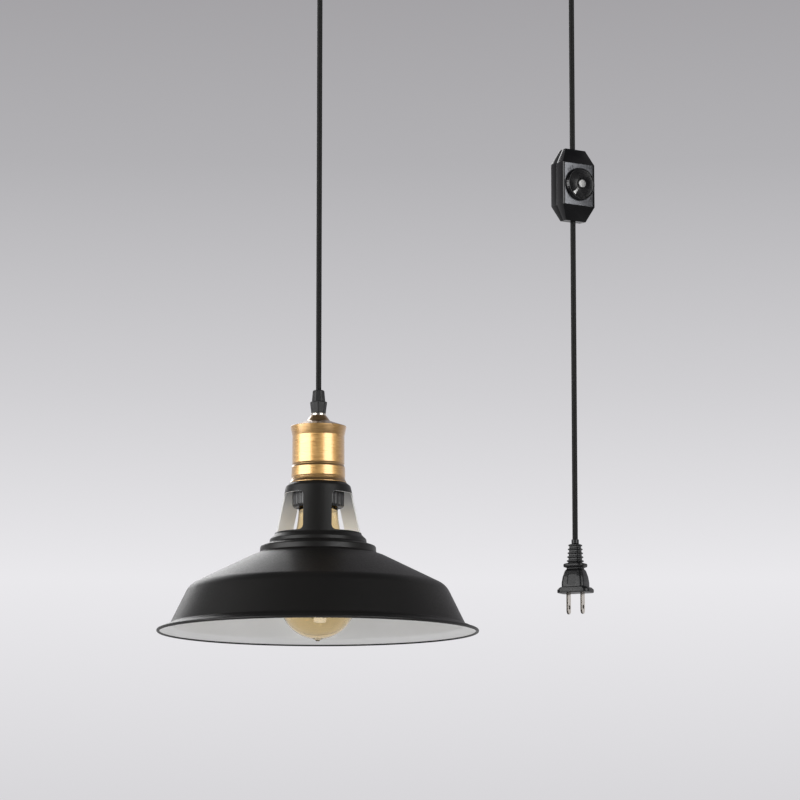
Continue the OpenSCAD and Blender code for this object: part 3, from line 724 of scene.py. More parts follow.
def shade_rows():
    """(radius, height, extra rib width) of each ring, with rings at the windows' corners."""
    heights = [p[1] for p in shade_line]
    low = next(i for i, p in enumerate(shade_line) if p[1] > WINDOW_LOW)
    corner = [WINDOW_CORNER * (1 - math.cos(math.radians(a))) for a in range(0, 91, 15)]
    inner = ([WINDOW_LOW + c for c in corner]
             + list(np.linspace(WINDOW_LOW, WINDOW_HIGH, 12)[2:-2])
             + [WINDOW_HIGH - c for c in reversed(corner)])
    rows = [(p[0], p[1], WINDOW_CORNER) for p in shade_line if p[1] < WINDOW_LOW - 0.1]
    for height in inner:
        radius = float(np.interp(height, heights[low - 1:low + 1], [shade_line[low - 1][0],
                                                                    shade_line[low][0]]))
        rows.append((radius, height, corner_extra(height)))
    rows += [(p[0], p[1], WINDOW_CORNER) for p in shade_line if p[1] > WINDOW_HIGH + 0.1]
    return rows


def corner_extra(height):
    """How much wider a rib is at this height, next to a window's rounded corner."""
    depth = WINDOW_CORNER - min(height - WINDOW_LOW, WINDOW_HIGH - height)
    if depth <= 0:
        return 0.0
    return WINDOW_CORNER - math.sqrt(max(0.0, WINDOW_CORNER ** 2 - depth ** 2))


def shade_mesh():
    """Skin of the shade with its three windows left open, its columns following the ribs."""
    rib_columns, window_columns = 36, 48
    build = bmesh.new()
    rings = []
    rows = shade_rows()
    rib_turn = None
    for radius, height, extra in rows:
        in_window = WINDOW_LOW - 0.01 < height < WINDOW_HIGH + 0.01
        if height < WINDOW_LOW:
            half = math.asin((RIB / 2 + WINDOW_CORNER) / 36.45)
        elif height > WINDOW_HIGH + 0.01:
            half = math.asin((RIB / 2 + WINDOW_CORNER) / 28.65)
        else:
            half = math.asin((RIB / 2 + extra) / radius)
        ring = []
        for rib in range(3):
            middle = math.radians(-90 + 120 * rib)
            turns = list(np.linspace(-half, half, rib_columns, endpoint=False))
            turns += list(np.linspace(half, math.radians(120) - half, window_columns,
                                      endpoint=False))
            ring += [build.verts.new((radius * math.cos(middle + t),
                                      radius * math.sin(middle + t), height)) for t in turns]
        rings.append((ring, in_window))
    columns = rib_columns + window_columns
    for (low, low_open), (high, high_open) in zip(rings, rings[1:]):
        for k in range(3 * columns):
            if low_open and high_open and k % columns >= rib_columns:
                continue
            nxt = (k + 1) % (3 * columns)
            build.faces.new((low[k], low[nxt], high[nxt], high[k]))
    loose = [v for v in build.verts if not v.link_faces]
    bmesh.ops.delete(build, geom=loose, context="VERTS")
    mesh = bpy.data.meshes.new("shade_skin")
    build.to_mesh(mesh)
    build.free()
    mesh.materials.append(COAT)
    mesh.materials.append(ENAMEL)
    return mesh


# painted highlight: the sheet's cut edges take the white enamel, a light line along the windows'
# edges
shade_skin = with_modifiers(
    "shade", shade_mesh(),
    ("SOLIDIFY", {"thickness": SHEET, "offset": -1, "use_even_offset": True,
                  "material_offset": 1, "material_offset_rim": 1}),
    ("BEVEL", {"width": 0.3, "segments": 2, "limit_method": "ANGLE",
               "angle_limit": math.radians(50)}))
new_piece("spun_shade", shade_skin, RIM, "pendant", [], ["shade"], sharp=40)

lip = lathe("lip", [(SHADE_R - LIP_BEAD + LIP_BEAD * math.cos(a), LIP_BEAD * math.sin(a))
                    for a in np.linspace(0, 2 * math.pi, 20, endpoint=False)], sides=288)
new_piece("rolled_lip", lip, RIM, "pendant", [COAT], (), sharp=180)

# ---------- lampholder ----------

HOLDER_R = 19.3
RING_FLUTES = 30


def fluted(angle, radius, height):
    """Scallops round the outside of the shade ring."""
    if radius < 21 or height > 120.0:
        return radius
    phase = (angle * RING_FLUTES / (2 * math.pi) + 0.5) % 1 - 0.5
    return radius - 0.55 * max(0.0, 1 - (phase / 0.26) ** 2)


ring_outline = rounded([(HOLDER_R + 0.06, 104.5, 0), (19.9, 104, 0.3), (20.6, 104, 0.3),
                        (21.8, 105.8, 0.4), (21.8, 119.9, 0), (21.8, 120.3, 0), (21.8, 123.25, 0.4),
                        (HOLDER_R + 0.06, 123.25, 0)], steps=5)
new_piece("fluted_ring", lathe("ring", ring_outline, sides=360, wave=fluted), RIM, "pendant",
          [PHENOLIC], ["shade_ring"])

holder_outline = rounded([
    (13.65, 108.5, 0.2), (17.2, 104.5, 0.3), (HOLDER_R, 104.5, 0.5), (HOLDER_R, 124.5, 0.1),
    (21, 124.5, 0.3), (21, 128.5, 0.3), (HOLDER_R, 128.5, 0.1), (HOLDER_R, 152.5, 0.3),
    (18, 152.5, 0.3), (18, 134, 0.1), (13.65, 134, 0.2)], steps=4, closed=True)
new_piece("pressed_holder", lathe("holder", holder_outline, sides=128), RIM, "pendant",
          [PHENOLIC], ["lampholder_body"])

cover_line = rounded([
    (24, 124.55, 0), (24, 124.9, 0.2), (22.9, 127, 2), (22.4, 129, 0.4), (22.7, 130.1, 0.6),
    (22.5, 137.8, 0.6), (21.6, 139.8, 0.5), (22.1, 141.1, 0.5), (22, 164.5, 3),
    (23.7, 172.8, 0.5), (10, 177.4, 2), (6.7, 182, 0.6), (5.1, 182, 0)], steps=8)
cover_outline = cover_line + beside(cover_line, -0.8)[::-1]
new_piece("brass_cover", lathe("cover", cover_outline, sides=192), RIM, "pendant",
          [COVER_BRASS], ["socket_cover"], sharp=50)

washer_outline = rounded([(5.05, 182.02, 0.15), (6.35, 182.02, 0.35), (6.35, 183.98, 0.35),
                          (5.05, 183.98, 0.15)], steps=4, closed=True)
new_piece("plated_washer", lathe("washer", washer_outline, sides=96), RIM, "pendant", [NICKEL],
          ["grip_washer"])


def flats(count, depth):
    """Turns a round outline into one with soft flats."""
    def wave(angle, radius, height):
        if radius < 4.5:
            return radius
        phase = (angle * count / (2 * math.pi)) % 1 - 0.5
        flat = radius * math.cos(math.pi / count) / math.cos(2 * math.pi / count * phase)
        return max(min(radius, flat + depth), radius - 0.9)
    return wave


grip_base_outline = rounded([
    (2.4, 184, 0), (6.1, 184, 0.3), (6.35, 186.4, 0.5), (7.2, 193.2, 0.5), (6.9, 194, 0.3),
    (2.4, 194, 0)], steps=4)
new_piece("grip_nut", lathe("grip_nut", grip_base_outline, sides=96, wave=flats(8, 0.15)), RIM,
          "pendant", [NYLON], ["cord_grip_base"], sharp=25)

grip_cap_outline = rounded([
    (2.4, 194.05, 0), (5.75, 194.05, 0.25), (5.3, 198.6, 1.0), (4.9, 203.4, 1.2), (3.6, 204, 0.4),
    (2.4, 204, 0)], steps=5)
new_piece("grip_cone", lathe("grip_cone", grip_cap_outline, sides=96, wave=flats(6, 0.35)), RIM,
          "pendant", [NYLON], ["cord_grip_cap"], sharp=25)

# ---------- bulb ----------

BULB_R, BULB_Z, NECK_R, NECK_Z, GLASS = 32.0, 25.0, 16.5, 103.5, 0.8
THREAD_PITCH = 3.63


def bulb_line(inset):
    """Wall of the bulb from its tip up to the neck, moved inwards by inset."""
    line = [((BULB_R - inset) * math.cos(a), BULB_Z + (BULB_R - inset) * math.sin(a))
            for a in np.linspace(-math.pi / 2, 0, 24)]
    line[0] = (0.0, line[0][1])
    for share in np.linspace(0, 1, 25)[1:]:
        radius = NECK_R - inset + (BULB_R - NECK_R) * (1 + math.cos(math.pi * share)) / 2
        line.append((radius, BULB_Z + (NECK_Z - BULB_Z) * share))
    return line


glass_outline = bulb_line(0) + bulb_line(GLASS)[::-1]
glass_outline[0] = (0.0, BULB_Z - BULB_R - 1.6)
glass_outline[1:1] = rounded([(0.0, -8.6, 0), (1.2, -8.6, 0.5), (2.2, -7.6, 0.9),
                              (4.2, -6.85, 0)], steps=5)[1:]
envelope = new_piece("blown_bulb", lathe("bulb", glass_outline, sides=128, closed=False), RIM,
                     "bulb", [AMBER], ["bulb_envelope"], sharp=180)
envelope.visible_shadow = False           # clear glass barely dims the light behind it


def thread(angle, radius, height):
    """Rolled right-hand thread between the cap's collar and its shoulder."""
    if not 107.9 < height < 127.9:
        return radius
    fade = min(1.0, (height - 107.9) / 2, (127.9 - height) / 2)
    phase = height / THREAD_PITCH - angle / (2 * math.pi)
    return radius - 0.38 * fade * (1 - math.cos(2 * math.pi * phase)) / 2


cap_heights = np.linspace(107.5, 128.1, 90)
cap_outline = ([(15.3, 103.53), (16.4, 103.53), (16.2, 104.5)]
               + rounded([(16.2, 104.5, 0), (15.7, 105.1, 0.3), (13.3, 106.8, 0.6),
                          (13.1, 107.5, 0)], steps=4)[1:-1]
               + [(13.1, h) for h in cap_heights]
               + rounded([(13.1, 128.1, 0), (12.8, 128.8, 0.6), (10.5, 130.7, 0)], steps=4)[1:]
               + [(10.5, 129.9), (12.3, 127.9)] + [(12.3, h) for h in (122, 114, 107.5)]
               + [(15.3, 104.9)])
new_piece("threaded_cap", lathe("bulb_cap", cap_outline, sides=128, wave=thread), RIM, "bulb",
          [BRASS], ["bulb_cap"], sharp=60)

stem_outline = rounded([
    (0, 12, 0), (1.55, 12, 0.7), (1.6, 64, 2), (2.2, 68, 1), (3.9, 69.5, 1.5), (4, 86, 4),
    (4.6, 92.5, 4), (15.2, 103.1, 1), (14, 103.3, 0), (0, 94.5, 0)], steps=6)
new_piece("glass_stem", lathe("stem", stem_outline, sides=64, closed=False), RIM, "bulb", [CLEAR],
          ["bulb_stem"], sharp=60)

# filament: it runs up and down between two rings of hooks, each (radius, height)
LOW_STAR, HIGH_STAR = (13.0, 12.0), (9.0, 66.0)
STRANDS = 7
STAR_TURN = 2 * math.pi / (STRANDS + 1)


def on_star(star, turn):
    return np.array((star[0] * math.cos(turn), star[0] * math.sin(turn), star[1]))


def wire_mesh(name, line, radius, sides=10):
    """Round wire along a line of points."""
    line = np.array(line, float)
    run = np.gradient(line, axis=0)
    run /= np.linalg.norm(run, axis=1)[:, None]
    side = np.cross(run[0], (0.3, 0.5, 0.8))
    build = bmesh.new()
    rings = []
    for point, along in zip(line, run):
        side = unit(side - along * float(side @ along))
        up = np.cross(along, side)
        rings.append([build.verts.new(point + radius * (math.cos(a) * side + math.sin(a) * up))
                      for a in np.arange(sides) * 2 * math.pi / sides])
    join_rings(build, rings)
    build.faces.new(rings[0])
    build.faces.new(rings[-1])
    return mesh_of(build, name)


filament_line = []
for k in range(2 * STRANDS + 1):
    star, way = (HIGH_STAR, 1) if k % 2 == 0 else (LOW_STAR, -1)
    for a in np.linspace(-90, 90, 7):
        turn = STAR_TURN * k / 2 + math.sin(math.radians(a)) * 0.55 / star[0]
        height = star[1] - way * 0.9 * (1 - math.cos(math.radians(a)))
        filament_line.append(on_star((star[0], height), turn))
new_piece("carbon_filament", wire_mesh("filament", filament_line, 0.2), RIM, "bulb", [FILAMENT],
          ["filament"], sharp=60)


def hooked_wire(star, hub_z, turn):
    """Support wire from the glass rod out to the filament, its end curled round it."""
    out = 1 if star is HIGH_STAR else -1
    line = [on_star((2.2, hub_z), turn), on_star((star[0] * 0.5, (hub_z + star[1]) / 2), turn),
            on_star((star[0] - 0.8, star[1] - 0.2 * out), turn)]
    for a in np.linspace(200, 0, 8):
        swing = math.radians(a)
        line.append(on_star((star[0] + 0.42 * math.cos(swing),
                             star[1] + out * (0.05 + 0.42 * math.sin(swing))), turn))
    return wire_mesh("hook", line, 0.16, sides=8)


def hub(height):
    """Small glass bead on the rod that holds a ring of support wires."""
    return lathe("hub", rounded([(1.62, height, 0.2), (2.5, height + 0.4, 0.7),
                                 (2.5, height + 1.8, 0.7), (1.62, height + 2.2, 0.2)], steps=4,
                                closed=True), sides=32)


supports = [hub(LOW_STAR[1] - 0.1), hub(HIGH_STAR[1] - 4)]
supports += [hooked_wire(LOW_STAR, LOW_STAR[1] + 1, STAR_TURN * (k + 0.5)) for k in range(STRANDS)]
supports += [hooked_wire(HIGH_STAR, HIGH_STAR[1] - 3, STAR_TURN * k) for k in range(1, STRANDS)]
new_piece("support_wires", joined("supports", supports), RIM, "bulb", [SUPPORT],
          ["filament_supports"], sharp=60)

feeds = [wire_mesh("feed", [on_star((3, 67.6), t), on_star((5, 67.3), t), on_star((8, 66.5), t),
                            on_star((9, 66), t)], 0.3)
         for t in (0, STAR_TURN * STRANDS)]
new_piece("feed_wires", joined("feeds", feeds), RIM, "bulb", [SUPPORT], ["lead_in_wires"],
          sharp=60)

# ---------- dimmer ----------

DIM_W, DIM_D, DIM_H = 32.8, 18.0, 62.0
FLAT_H, END_W, END_D = 36.4, 20.4, 8.6
PLATE_W = 28.8
KNOB_BACK = -DIM_D / 2 - 0.4
KNOB_R, DISH_Z = 14.1, 3.4
POINTER_TURN = math.radians(229)
# out of the dimmer's face: the knob's own axis points away from the housing
FACING = Matrix.Rotation(math.pi / 2, 4, "X")


def octagon_block(inset=0.0):
    """Housing that narrows to both ends, seen from the front and from the side."""
    w, d = DIM_W / 2 - inset, DIM_D / 2 - inset
    top, mid = DIM_H / 2 - inset, FLAT_H / 2 - 0.3 * inset
    e, f = END_W / 2 - 0.7 * inset, END_D / 2 - 0.7 * inset
    build = bmesh.new()
    bmesh.ops.create_cube(build, size=2)
    bmesh.ops.scale(build, vec=(w, d, top), verts=build.verts)
    slopes = []
    for sx in (-1, 1):
        for sz in (-1, 1):
            slopes.append((Vector((sx * w, 0, sz * mid)),
                           Vector((sx * (top - mid), 0, sz * (w - e)))))
            slopes.append((Vector((0, sx * d, sz * mid)),
                           Vector((0, sx * (top - mid), sz * (d - f)))))
    for point, normal in slopes:
        cut_off(build, point, normal)
    return build


def cut_off(build, point, normal):
    """Cuts away what lies beyond a plane and closes the cut."""
    everything = build.verts[:] + build.edges[:] + build.faces[:]
    cut = bmesh.ops.bisect_plane(build, geom=everything, plane_co=point, plane_no=normal,
                                 clear_outer=True)
    rim = [g for g in cut["geom_cut"] if isinstance(g, bmesh.types.BMEdge)]
    if rim:
        bmesh.ops.edgeloop_fill(build, edges=rim)


def half_shell(name, side):
    """Front half (side -1) or back half (side 1) of the housing, its edges softly rounded."""
    build = octagon_block()
    cut_off(build, Vector((0, side * 0.03, 0)), Vector((0, -side, 0)))
    if side < 0:
        bed = -DIM_D / 2
        edges = [(Vector((s * (PLATE_W / 2 + 0.15), 0, 0)), Vector((1, 0, 0))) for s in (-1, 1)]
        edges += [(Vector((0, 0, s * (FLAT_H / 2 - 0.02))), Vector((0, 0, 1))) for s in (-1, 1)]
        for point, normal in edges:
            front = [f for f in build.faces if abs(f.calc_center_median().y - bed) < 0.01]
            geometry = list({v for f in front for v in f.verts}) + front
            geometry += list({e for f in front for e in f.edges})
            bmesh.ops.bisect_plane(build, geom=geometry, plane_co=point, plane_no=normal)
    mesh = mesh_of(build, name)
    return with_modifiers(name, mesh, ("BEVEL", {
        "width": 0.55, "segments": 3, "limit_method": "ANGLE", "angle_limit": math.radians(20)}))


new_piece("front_half", half_shell("front", -1), DIMMER, "lead", [ABS], ["dimmer_front_shell"],
          sharp=25)
new_piece("back_half", half_shell("back", 1), DIMMER, "lead", [ABS], ["dimmer_back_shell"],
          sharp=25)

face = plate("face", [rounded_box(PLATE_W, FLAT_H - 0.4, 0.5), circle(3.6)], 0.6, edge=0.12)
moved(face, Matrix.Translation((0, -DIM_D / 2 + 0.5, 0)) @ FACING)
new_piece("face_plate", face, DIMMER, "lead", [PLATE], ["dimmer_face_plate"],
          sharp=40)

def oval(half_width, half_height):
    turns = np.linspace(0, 2 * math.pi, 33)[:-1]
    return [(half_width * math.cos(a), half_height * math.sin(a)) for a in turns]


# outlines of the printed letters, each 2 mm high before MARK_SCALE
O_MARK = [oval(0.75, 1.0), oval(0.45, 0.7)]
F_MARK = [[(-0.55, -1), (-0.25, -1), (-0.25, -0.15), (0.4, -0.15), (0.4, 0.15), (-0.25, 0.15),
           (-0.25, 0.7), (0.55, 0.7), (0.55, 1), (-0.55, 1)]]
N_MARK = [[(-0.65, -1), (-0.35, -1), (-0.35, 0.5), (0.32, -1), (0.65, -1), (0.65, 1), (0.35, 1),
           (0.35, -0.5), (-0.32, 1), (-0.65, 1)]]
MARK_SCALE, MARK_STEP, INK_FILM = 1.4, 1.8, 0.05
PLATE_FRONT = -DIM_D / 2 - 0.1


def marks(name, letters, x, z, turn):
    """A row of printed letters on the face plate, about a point and turned in degrees."""
    at = (Matrix.Translation((x, z, 0)) @ Matrix.Rotation(math.radians(turn), 4, "Z")
          @ Matrix.Scale(MARK_SCALE, 4))
    row = []
    for k, outlines in enumerate(letters):
        along = MARK_STEP * (k - (len(letters) - 1) / 2)
        row.append(plate(name, outlines, INK_FILM, edge=0.005,
                         place=at @ Matrix.Translation((along, 0, 0))))
    return moved(joined(name, row), Matrix.Translation((0, PLATE_FRONT, 0)) @ FACING)


new_piece("off_mark", marks("off", [O_MARK, F_MARK, F_MARK], -8.2, 13.3, 33), DIMMER, "lead",
          [INK], (), sharp=60)
new_piece("on_mark", marks("on", [O_MARK, N_MARK], 12.4, -11.6, 66), DIMMER, "lead",
          [INK], (), sharp=60)

knob_outline = rounded([
    (0, 0.2, 0), (KNOB_R - 0.4, 0.2, 0.3), (KNOB_R, 0.6, 0.3), (KNOB_R, 1.5, 0.5),
    (13.3, 4.2, 0.35), (12.7, 4.2, 0.25), (12.4, DISH_Z, 0.3), (4.35, DISH_Z, 0.2),
    (4.2, 4.6, 0.15), (3.76, 4.6, 0.05), (3.74, 4.05, 0), (0, 4.05, 0)], steps=5)
KNOB_SEAT = Matrix.Translation((0, KNOB_BACK, 0)) @ FACING


def knob_grips(angle, radius, height):
    """Fine notches round the knob's skirt."""
    if radius < 13.5 or height < 1.0:
        return radius
    return radius - 0.12 * (1 - math.cos(48 * angle)) / 2


knob = lathe("knob", knob_outline, sides=384, closed=False, wave=knob_grips)
new_piece("dished_knob", moved(knob, KNOB_SEAT), DIMMER, "knob", [ABS], ["dimmer_knob"],
          sharp=40)

button_outline = rounded([(0, 4.06, 0), (3.6, 4.06, 0.1), (3.65, 4.7, 0.25), (3.2, 4.95, 0.3),
                          (0, 5.02, 0)], steps=4)
button = lathe("button", button_outline, sides=64, closed=False)
new_piece("silver_button", moved(button, KNOB_SEAT), DIMMER, "knob", [SILVER], ["knob_button"],
          sharp=40)

wedge = plate("wedge", [rounded([(4.7, -0.6, 0.2), (12.0, -1.6, 0.3), (12.0, 1.6, 0.3),
                                 (4.7, 0.6, 0.2)], steps=4, closed=True)], 0.95, edge=0.15,
              place=Matrix.Rotation(POINTER_TURN, 4, "Z") @ Matrix.Translation((0, 0, 3.15)))
new_piece("silver_pointer", moved(wedge, KNOB_SEAT), DIMMER, "knob", [SILVER], ["knob_pointer"],
          sharp=40)

# ---------- plug ----------

PLUG_RIBS = 5
RIB_GAP = 3.3


def plug_levels():
    """Levels (half width, half depth, corner, height, rounding) up the moulded plug."""
    levels = [(14.0, 8.4, 4.2, 0, 0), (14.5, 8.75, 4.5, 0.4, 0.3), (14.5, 8.75, 4.5, 2.6, 0.5),
              (12.6, 8.6, 4.0, 4.3, 1.2), (10.2, 8.4, 3.2, 5.0, 0.6), (10.1, 8.3, 3.0, 8.5, 4),
              (9.4, 7.6, 3.0, 13.6, 6), (7.9, 6.3, 2.6, 18.6, 3), (6.5, 5.2, 2.2, 20.2, 0.5),
              (6.5, 5.2, 2.2, 20.9, 0.3), (9.1, 7.1, 4.2, 21.8, 0.4), (9.4, 7.3, 4.4, 23.0, 0.5),
              (9.1, 7.1, 4.2, 24.4, 0.6), (5.4, 4.3, 2.0, 25.4, 0.3)]
    for k in range(PLUG_RIBS):
        low = 26.0 + RIB_GAP * k
        wide, deep = 6.3 - 0.25 * k, 5.4 - 0.22 * k
        core_w, core_d = 5.2 - 0.2 * k, 4.3 - 0.16 * k
        levels += [(core_w, core_d, 1.9, low - 0.1, 0.2), (wide, deep, 2.5, low + 0.35, 0.3),
                   (wide, deep, 2.5, low + 1.2, 0.3), (core_w, core_d, 1.9, low + 1.7, 0.2)]
    levels += [(3.3, 3.4, 2.0, 41.0, 0.3), (3.1, 3.1, 3.0, 41.6, 0.3), (3.1, 3.1, 3.0, 44.7, 0.3),
               (2.9, 2.9, 2.8, 45.0, 0)]
    return levels


smooth_levels = [(2 * w, 2 * d, c, z) for w, d, c, z in rounded(plug_levels(), steps=4)]
plug_skin = loft("plug", smooth_levels, steps=7)


PANEL_SIZE, PANEL_CORNER = (8, 3, 9), 1.2
PANEL_OUT, PANEL_UP = 8.85, 11            # middle of the cutting block
PANEL_TILT = math.radians(9)              # the bell's face leans in towards the cord


def panel_cutter(side):
    """Block with round corners that presses a panel into the bell's front (-1) or back (1)."""
    block = bmesh.new()
    bmesh.ops.create_cube(block, size=1)
    bmesh.ops.scale(block, vec=PANEL_SIZE, verts=block.verts)
    through = [e for e in block.edges if abs(e.verts[0].co.y - e.verts[1].co.y) > 1]
    bmesh.ops.bevel(block, geom=through, offset=PANEL_CORNER, segments=5, profile=0.5,
                    affect="EDGES")
    bmesh.ops.rotate(block, verts=block.verts, matrix=Matrix.Rotation(side * PANEL_TILT, 3, "X"))
    bmesh.ops.translate(block, verts=block.verts, vec=(0, side * PANEL_OUT, PANEL_UP))
    return mesh_of(block, "panel_cutter")


for side in (-1, 1):
    tool = bpy.data.objects.new("panel_cutter", panel_cutter(side))
    bpy.context.scene.collection.objects.link(tool)
    plug_skin = with_modifiers("plug", plug_skin, ("BOOLEAN", {
        "object": tool, "operation": "DIFFERENCE", "solver": "EXACT"}))
    bpy.data.objects.remove(tool)
new_piece("moulded_plug", plug_skin, PLUG, "lead", [PVC], ["plug_body"], sharp=40)

BLADE_L, BLADE_W, BLADE_T, BLADE_GAP, BLADE_HOLE = 17.8, 6.35, 1.5, 12.7, 11.9
blade_end = [(BLADE_W / 2 * math.cos(a), -BLADE_L + BLADE_W / 2 + BLADE_W / 2 * math.sin(a))
             for a in np.linspace(-math.pi, 0, 25)]
blade_outline = blade_end + [(BLADE_W / 2, 0.5), (-BLADE_W / 2, 0.5)]
for side, node in ((-1, "live_blade"), (1, "neutral_blade")):
    blade = plate(node, [blade_outline, circle(1.6, 32, y=-BLADE_HOLE)], BLADE_T, edge=0.25)
    upright = (Matrix.Translation((side * BLADE_GAP / 2 - BLADE_T / 2, 0, 0))
               @ Matrix.Rotation(math.pi / 2, 4, "Z") @ Matrix.Rotation(math.pi / 2, 4, "X"))
    moved(blade, upright)
    for polygon in blade.polygons:
        polygon.material_index = int(abs(polygon.normal.x) < 0.7)
    new_piece(node + "_plated", blade, PLUG, "lead", [NICKEL, SHEARED], [node], sharp=40)

# ---------- ceiling cups ----------

CUP_R, CUP_H, CUP_WALL = 27.0, 34.0, 1.5

cup_outer = rounded([(CUP_R, 0, 0), (CUP_R, -CUP_H, 2.5), (5.1, -CUP_H, 0)], steps=8)
cup_inner = rounded([(5.1, -CUP_H + 2, 0), (CUP_R - CUP_WALL, -CUP_H + 2, 1.5),
                     (CUP_R - CUP_WALL, 0, 0)], steps=6)


def cup_mesh(turn):
    """Drawn cup with a slot at its rim where the cord leaves."""
    cup = lathe("cup", cup_outer + cup_inner, sides=192)
    cutter = bmesh.new()
    bmesh.ops.create_cube(cutter, size=1)
    bmesh.ops.scale(cutter, vec=(20, 6, 12.2), verts=cutter.verts)
    bmesh.ops.translate(cutter, vec=(25, 0, -5.5), verts=cutter.verts)
    upright = [e for e in cutter.edges
               if abs(e.verts[0].co.x - e.verts[1].co.x) > 1 and e.verts[0].co.z < -6]
    bmesh.ops.bevel(cutter, geom=upright, offset=2.4, segments=6, profile=0.5, affect="EDGES")
    cut_mesh = mesh_of(cutter, "slot")
    cut_mesh.transform(Matrix.Rotation(turn, 4, "Z"))
    tool = bpy.data.objects.new("slot", cut_mesh)
    bpy.context.scene.collection.objects.link(tool)
    made = with_modifiers("cup", cup, ("BOOLEAN", {"object": tool, "operation": "DIFFERENCE",
                                                   "solver": "EXACT"}),
                          ("BEVEL", {"width": 0.25, "segments": 2, "limit_method": "ANGLE",
                                     "angle_limit": math.radians(50)}))
    bpy.data.objects.remove(tool)
    return made


gland_outline = rounded([
    (2.4, -28, 0), (4.7, -28, 0.3), (5, -28.4, 0.2), (5, -34.02, 0.1), (9, -34.02, 0.3),
    (9, -36.4, 0.5), (7.6, -37.2, 0.8), (6.7, -52.6, 1), (6.2, -54, 0.6), (5.3, -54, 0.4),
    (2.8, -44, 2), (2.4, -43.5, 0)], steps=6)


def screw_mesh(shaft_r, shaft_l, head_r, head_h, slot_w):
    """Pan-head screw along +Z from its tip at 0, its head outside shaft_l, with a shallow cone sunk
    in its head; slot_w is not used.
    """
    outline = rounded([(0, 0, 0), (shaft_r, 0.4, 0.2), (shaft_r, shaft_l, 0.05),
                       (head_r, shaft_l + 0.02, 0.15), (head_r * 0.95, shaft_l + head_h, 0.4),
                       (head_r * 0.35, shaft_l + head_h, 0), (0, shaft_l + 0.4 * head_h, 0)],
                      steps=4)
    return lathe("screw", outline, sides=48, closed=False)


for name, place in CUPS.items():
    turn = CUP_TURN[name]
    new_piece(f"{name}_drawn_cup", cup_mesh(turn), place, "ceiling", [COAT],
              [f"{name}_ceiling_cup"], sharp=35)
    new_piece(f"{name}_gland_body", lathe("gland", gland_outline, sides=96), place, "ceiling",
              [NYLON], [f"{name}_cup_gland"], sharp=35)
    heads = []
    for way in (0, math.pi):
        lug = CUP_R - CUP_WALL - 4.1
        head = screw_mesh(1.25, CUP_R - lug + 2.0, 2.6, 1.4, 0.6)
        at = (Matrix.Rotation(way, 4, "Z") @ Matrix.Translation((0, lug - 2, -9))
              @ Matrix.Rotation(-math.pi / 2, 4, "X"))
        heads.append(moved(head, at))
    new_piece(f"{name}_rim_screws", joined("rim_screws", heads), place, "ceiling", [STEEL],
              [f"{name}_cup_screws"], sharp=35)

# ---------- CAD nodes that stay as they are, with their materials ----------

kept = {
    "lampholder_cap": PHENOLIC, "socket_core": STEATITE, "screw_shell": BRASS,
    "centre_contact": BRASS, "terminal_screws": STEEL, "live_wire": BLACK_WIRE,
    "neutral_wire": WHITE_WIRE, "hollow_nipple": ZINC, "nipple_nut": ZINC,
    "bulb_cap_insulator": VITRITE, "bulb_tip_contact": SOLDER, "dimmer_shaft": STEEL,
    "potentiometer": POT, "circuit_board": BOARD, "triac": EPOXY, "choke_coil": COPPER,
    "terminal_blocks": TERMINAL, "cord_clamps": STEEL, "dimmer_screws": STEEL,
    "plug_bridge": BRIDGE, "lamp_ceiling_plate": ZINC, "lead_ceiling_plate": ZINC,
    "lamp_gland_nut": ZINC, "lead_gland_nut": ZINC, "lamp_clamp_screw": STEEL,
    "lead_clamp_screw": STEEL,
}
for node, material in kept.items():
    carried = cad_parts[node]
    carried.data.materials.clear()
    carried.data.materials.append(material)
    for polygon in carried.data.polygons:
        polygon.use_smooth = True
    carried.data.set_sharp_from_angle(angle=math.radians(30))

# ---------- studio ----------

STUDIO_R, FLOOR_Z, WALL_TOP = 9.0, -5.0, 9.0


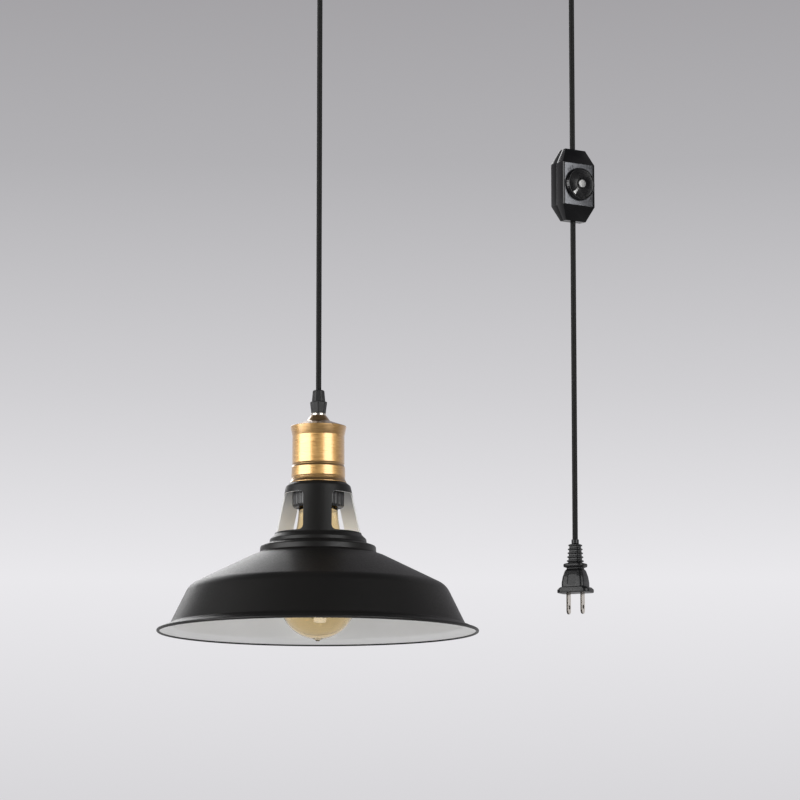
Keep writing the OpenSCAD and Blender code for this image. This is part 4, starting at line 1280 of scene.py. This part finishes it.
def glowing_cyclorama():
    # Matt studio wall that glows as a soft light; its glow is painted light, graded by height:
    # palest about 0.4 m above the frame's origin, a little darker at the floor, darker still
    # towards the top
    material, tree, shader = shaded("glowing_cyclorama", "#d9d8da", 0.95)
    place = add(tree, "ShaderNodeTexCoord")
    split = add(tree, "ShaderNodeSeparateXYZ", {0: place.outputs["Object"]})
    level = add(tree, "ShaderNodeMapRange", {
        "Value": split.outputs["Z"], "From Min": -1.6, "From Max": 2.6, "To Min": 0.0,
        "To Max": 1.0}).outputs["Result"]
    # painted light: the glow's colour, graded by height
    ramp = add(tree, "ShaderNodeValToRGB", {"Fac": level})
    stops = ((0.0, "#c9c8ca"), (0.3, "#d6d5d8"), (0.47, "#e8e7ea"), (0.62, "#cecdd0"),
             (0.8, "#b0afb2"), (1.0, "#9b999c"))
    ramp.color_ramp.elements[0].color = colour(stops[0][1])
    ramp.color_ramp.elements[1].color = colour(stops[-1][1])
    for position, tone in stops[1:-1]:
        ramp.color_ramp.elements.new(position).color = colour(tone)
    tree.links.new(ramp.outputs["Color"], shader.inputs["Emission Color"])
    # the half behind the object glows, and the half in front of it is dim
    depth = add(tree, "ShaderNodeMapRange", {
        "Value": split.outputs["Y"], "From Min": -2.0, "From Max": 4.0, "To Min": 0.28,
        "To Max": 1.0}).outputs["Result"]
    tree.links.new(depth, shader.inputs["Emission Strength"])
    shader.inputs["Base Color"].default_value = (0.02, 0.02, 0.02, 1)
    return material


def cyclorama():
    """Floor, rounded corner and round wall in one sweep."""
    outline = rounded([(0, FLOOR_Z, 0), (STUDIO_R, FLOOR_Z, 3.0), (STUDIO_R, WALL_TOP, 0)],
                      steps=16)
    mesh = lathe("studio", outline, sides=128, closed=False)
    for polygon in mesh.polygons:
        polygon.use_smooth = True
    mesh.materials.append(glowing_cyclorama())
    wall = bpy.data.objects.new("studio", mesh)
    bpy.context.scene.collection.objects.link(wall)


def softbox(name, turn, rise, distance, size, power, aim=(0.06, 0, -0.4)):
    """Soft area light; turn is its bearing from the camera's side, in degrees."""
    light = bpy.data.lights.new(name, "AREA")
    light.shape = "RECTANGLE"
    light.size, light.size_y = size
    light.energy = power
    holder = bpy.data.objects.new(name, light)
    bpy.context.scene.collection.objects.link(holder)
    a, e = math.radians(turn), math.radians(rise)
    out = Vector((math.sin(a) * math.cos(e), -math.cos(a) * math.cos(e), math.sin(e)))
    holder.location = Vector(aim) + out * distance
    holder.rotation_mode = "QUATERNION"
    holder.rotation_quaternion = out.to_track_quat("Z", "Y")
    holder.visible_camera = False


cyclorama()
softbox("left_softbox", -62, 8, 2.4, (2.6, 1.4), 51)
softbox("right_softbox", 44, 10, 2.4, (1.7, 1.4), 32)
softbox("shoulder_softbox", -158, 24, 2.6, (1.2, 1.2), 15)
softbox("low_fill", 10, -60, 2.2, (1.2, 1.2), 14)

world = bpy.data.worlds.new("room")
bpy.context.scene.world = world
world.use_nodes = True
world.node_tree.nodes["Background"].inputs["Color"].default_value = colour("#8c8c90")
world.node_tree.nodes["Background"].inputs["Strength"].default_value = 0.4
bpy.context.scene.view_settings.view_transform = "Standard"
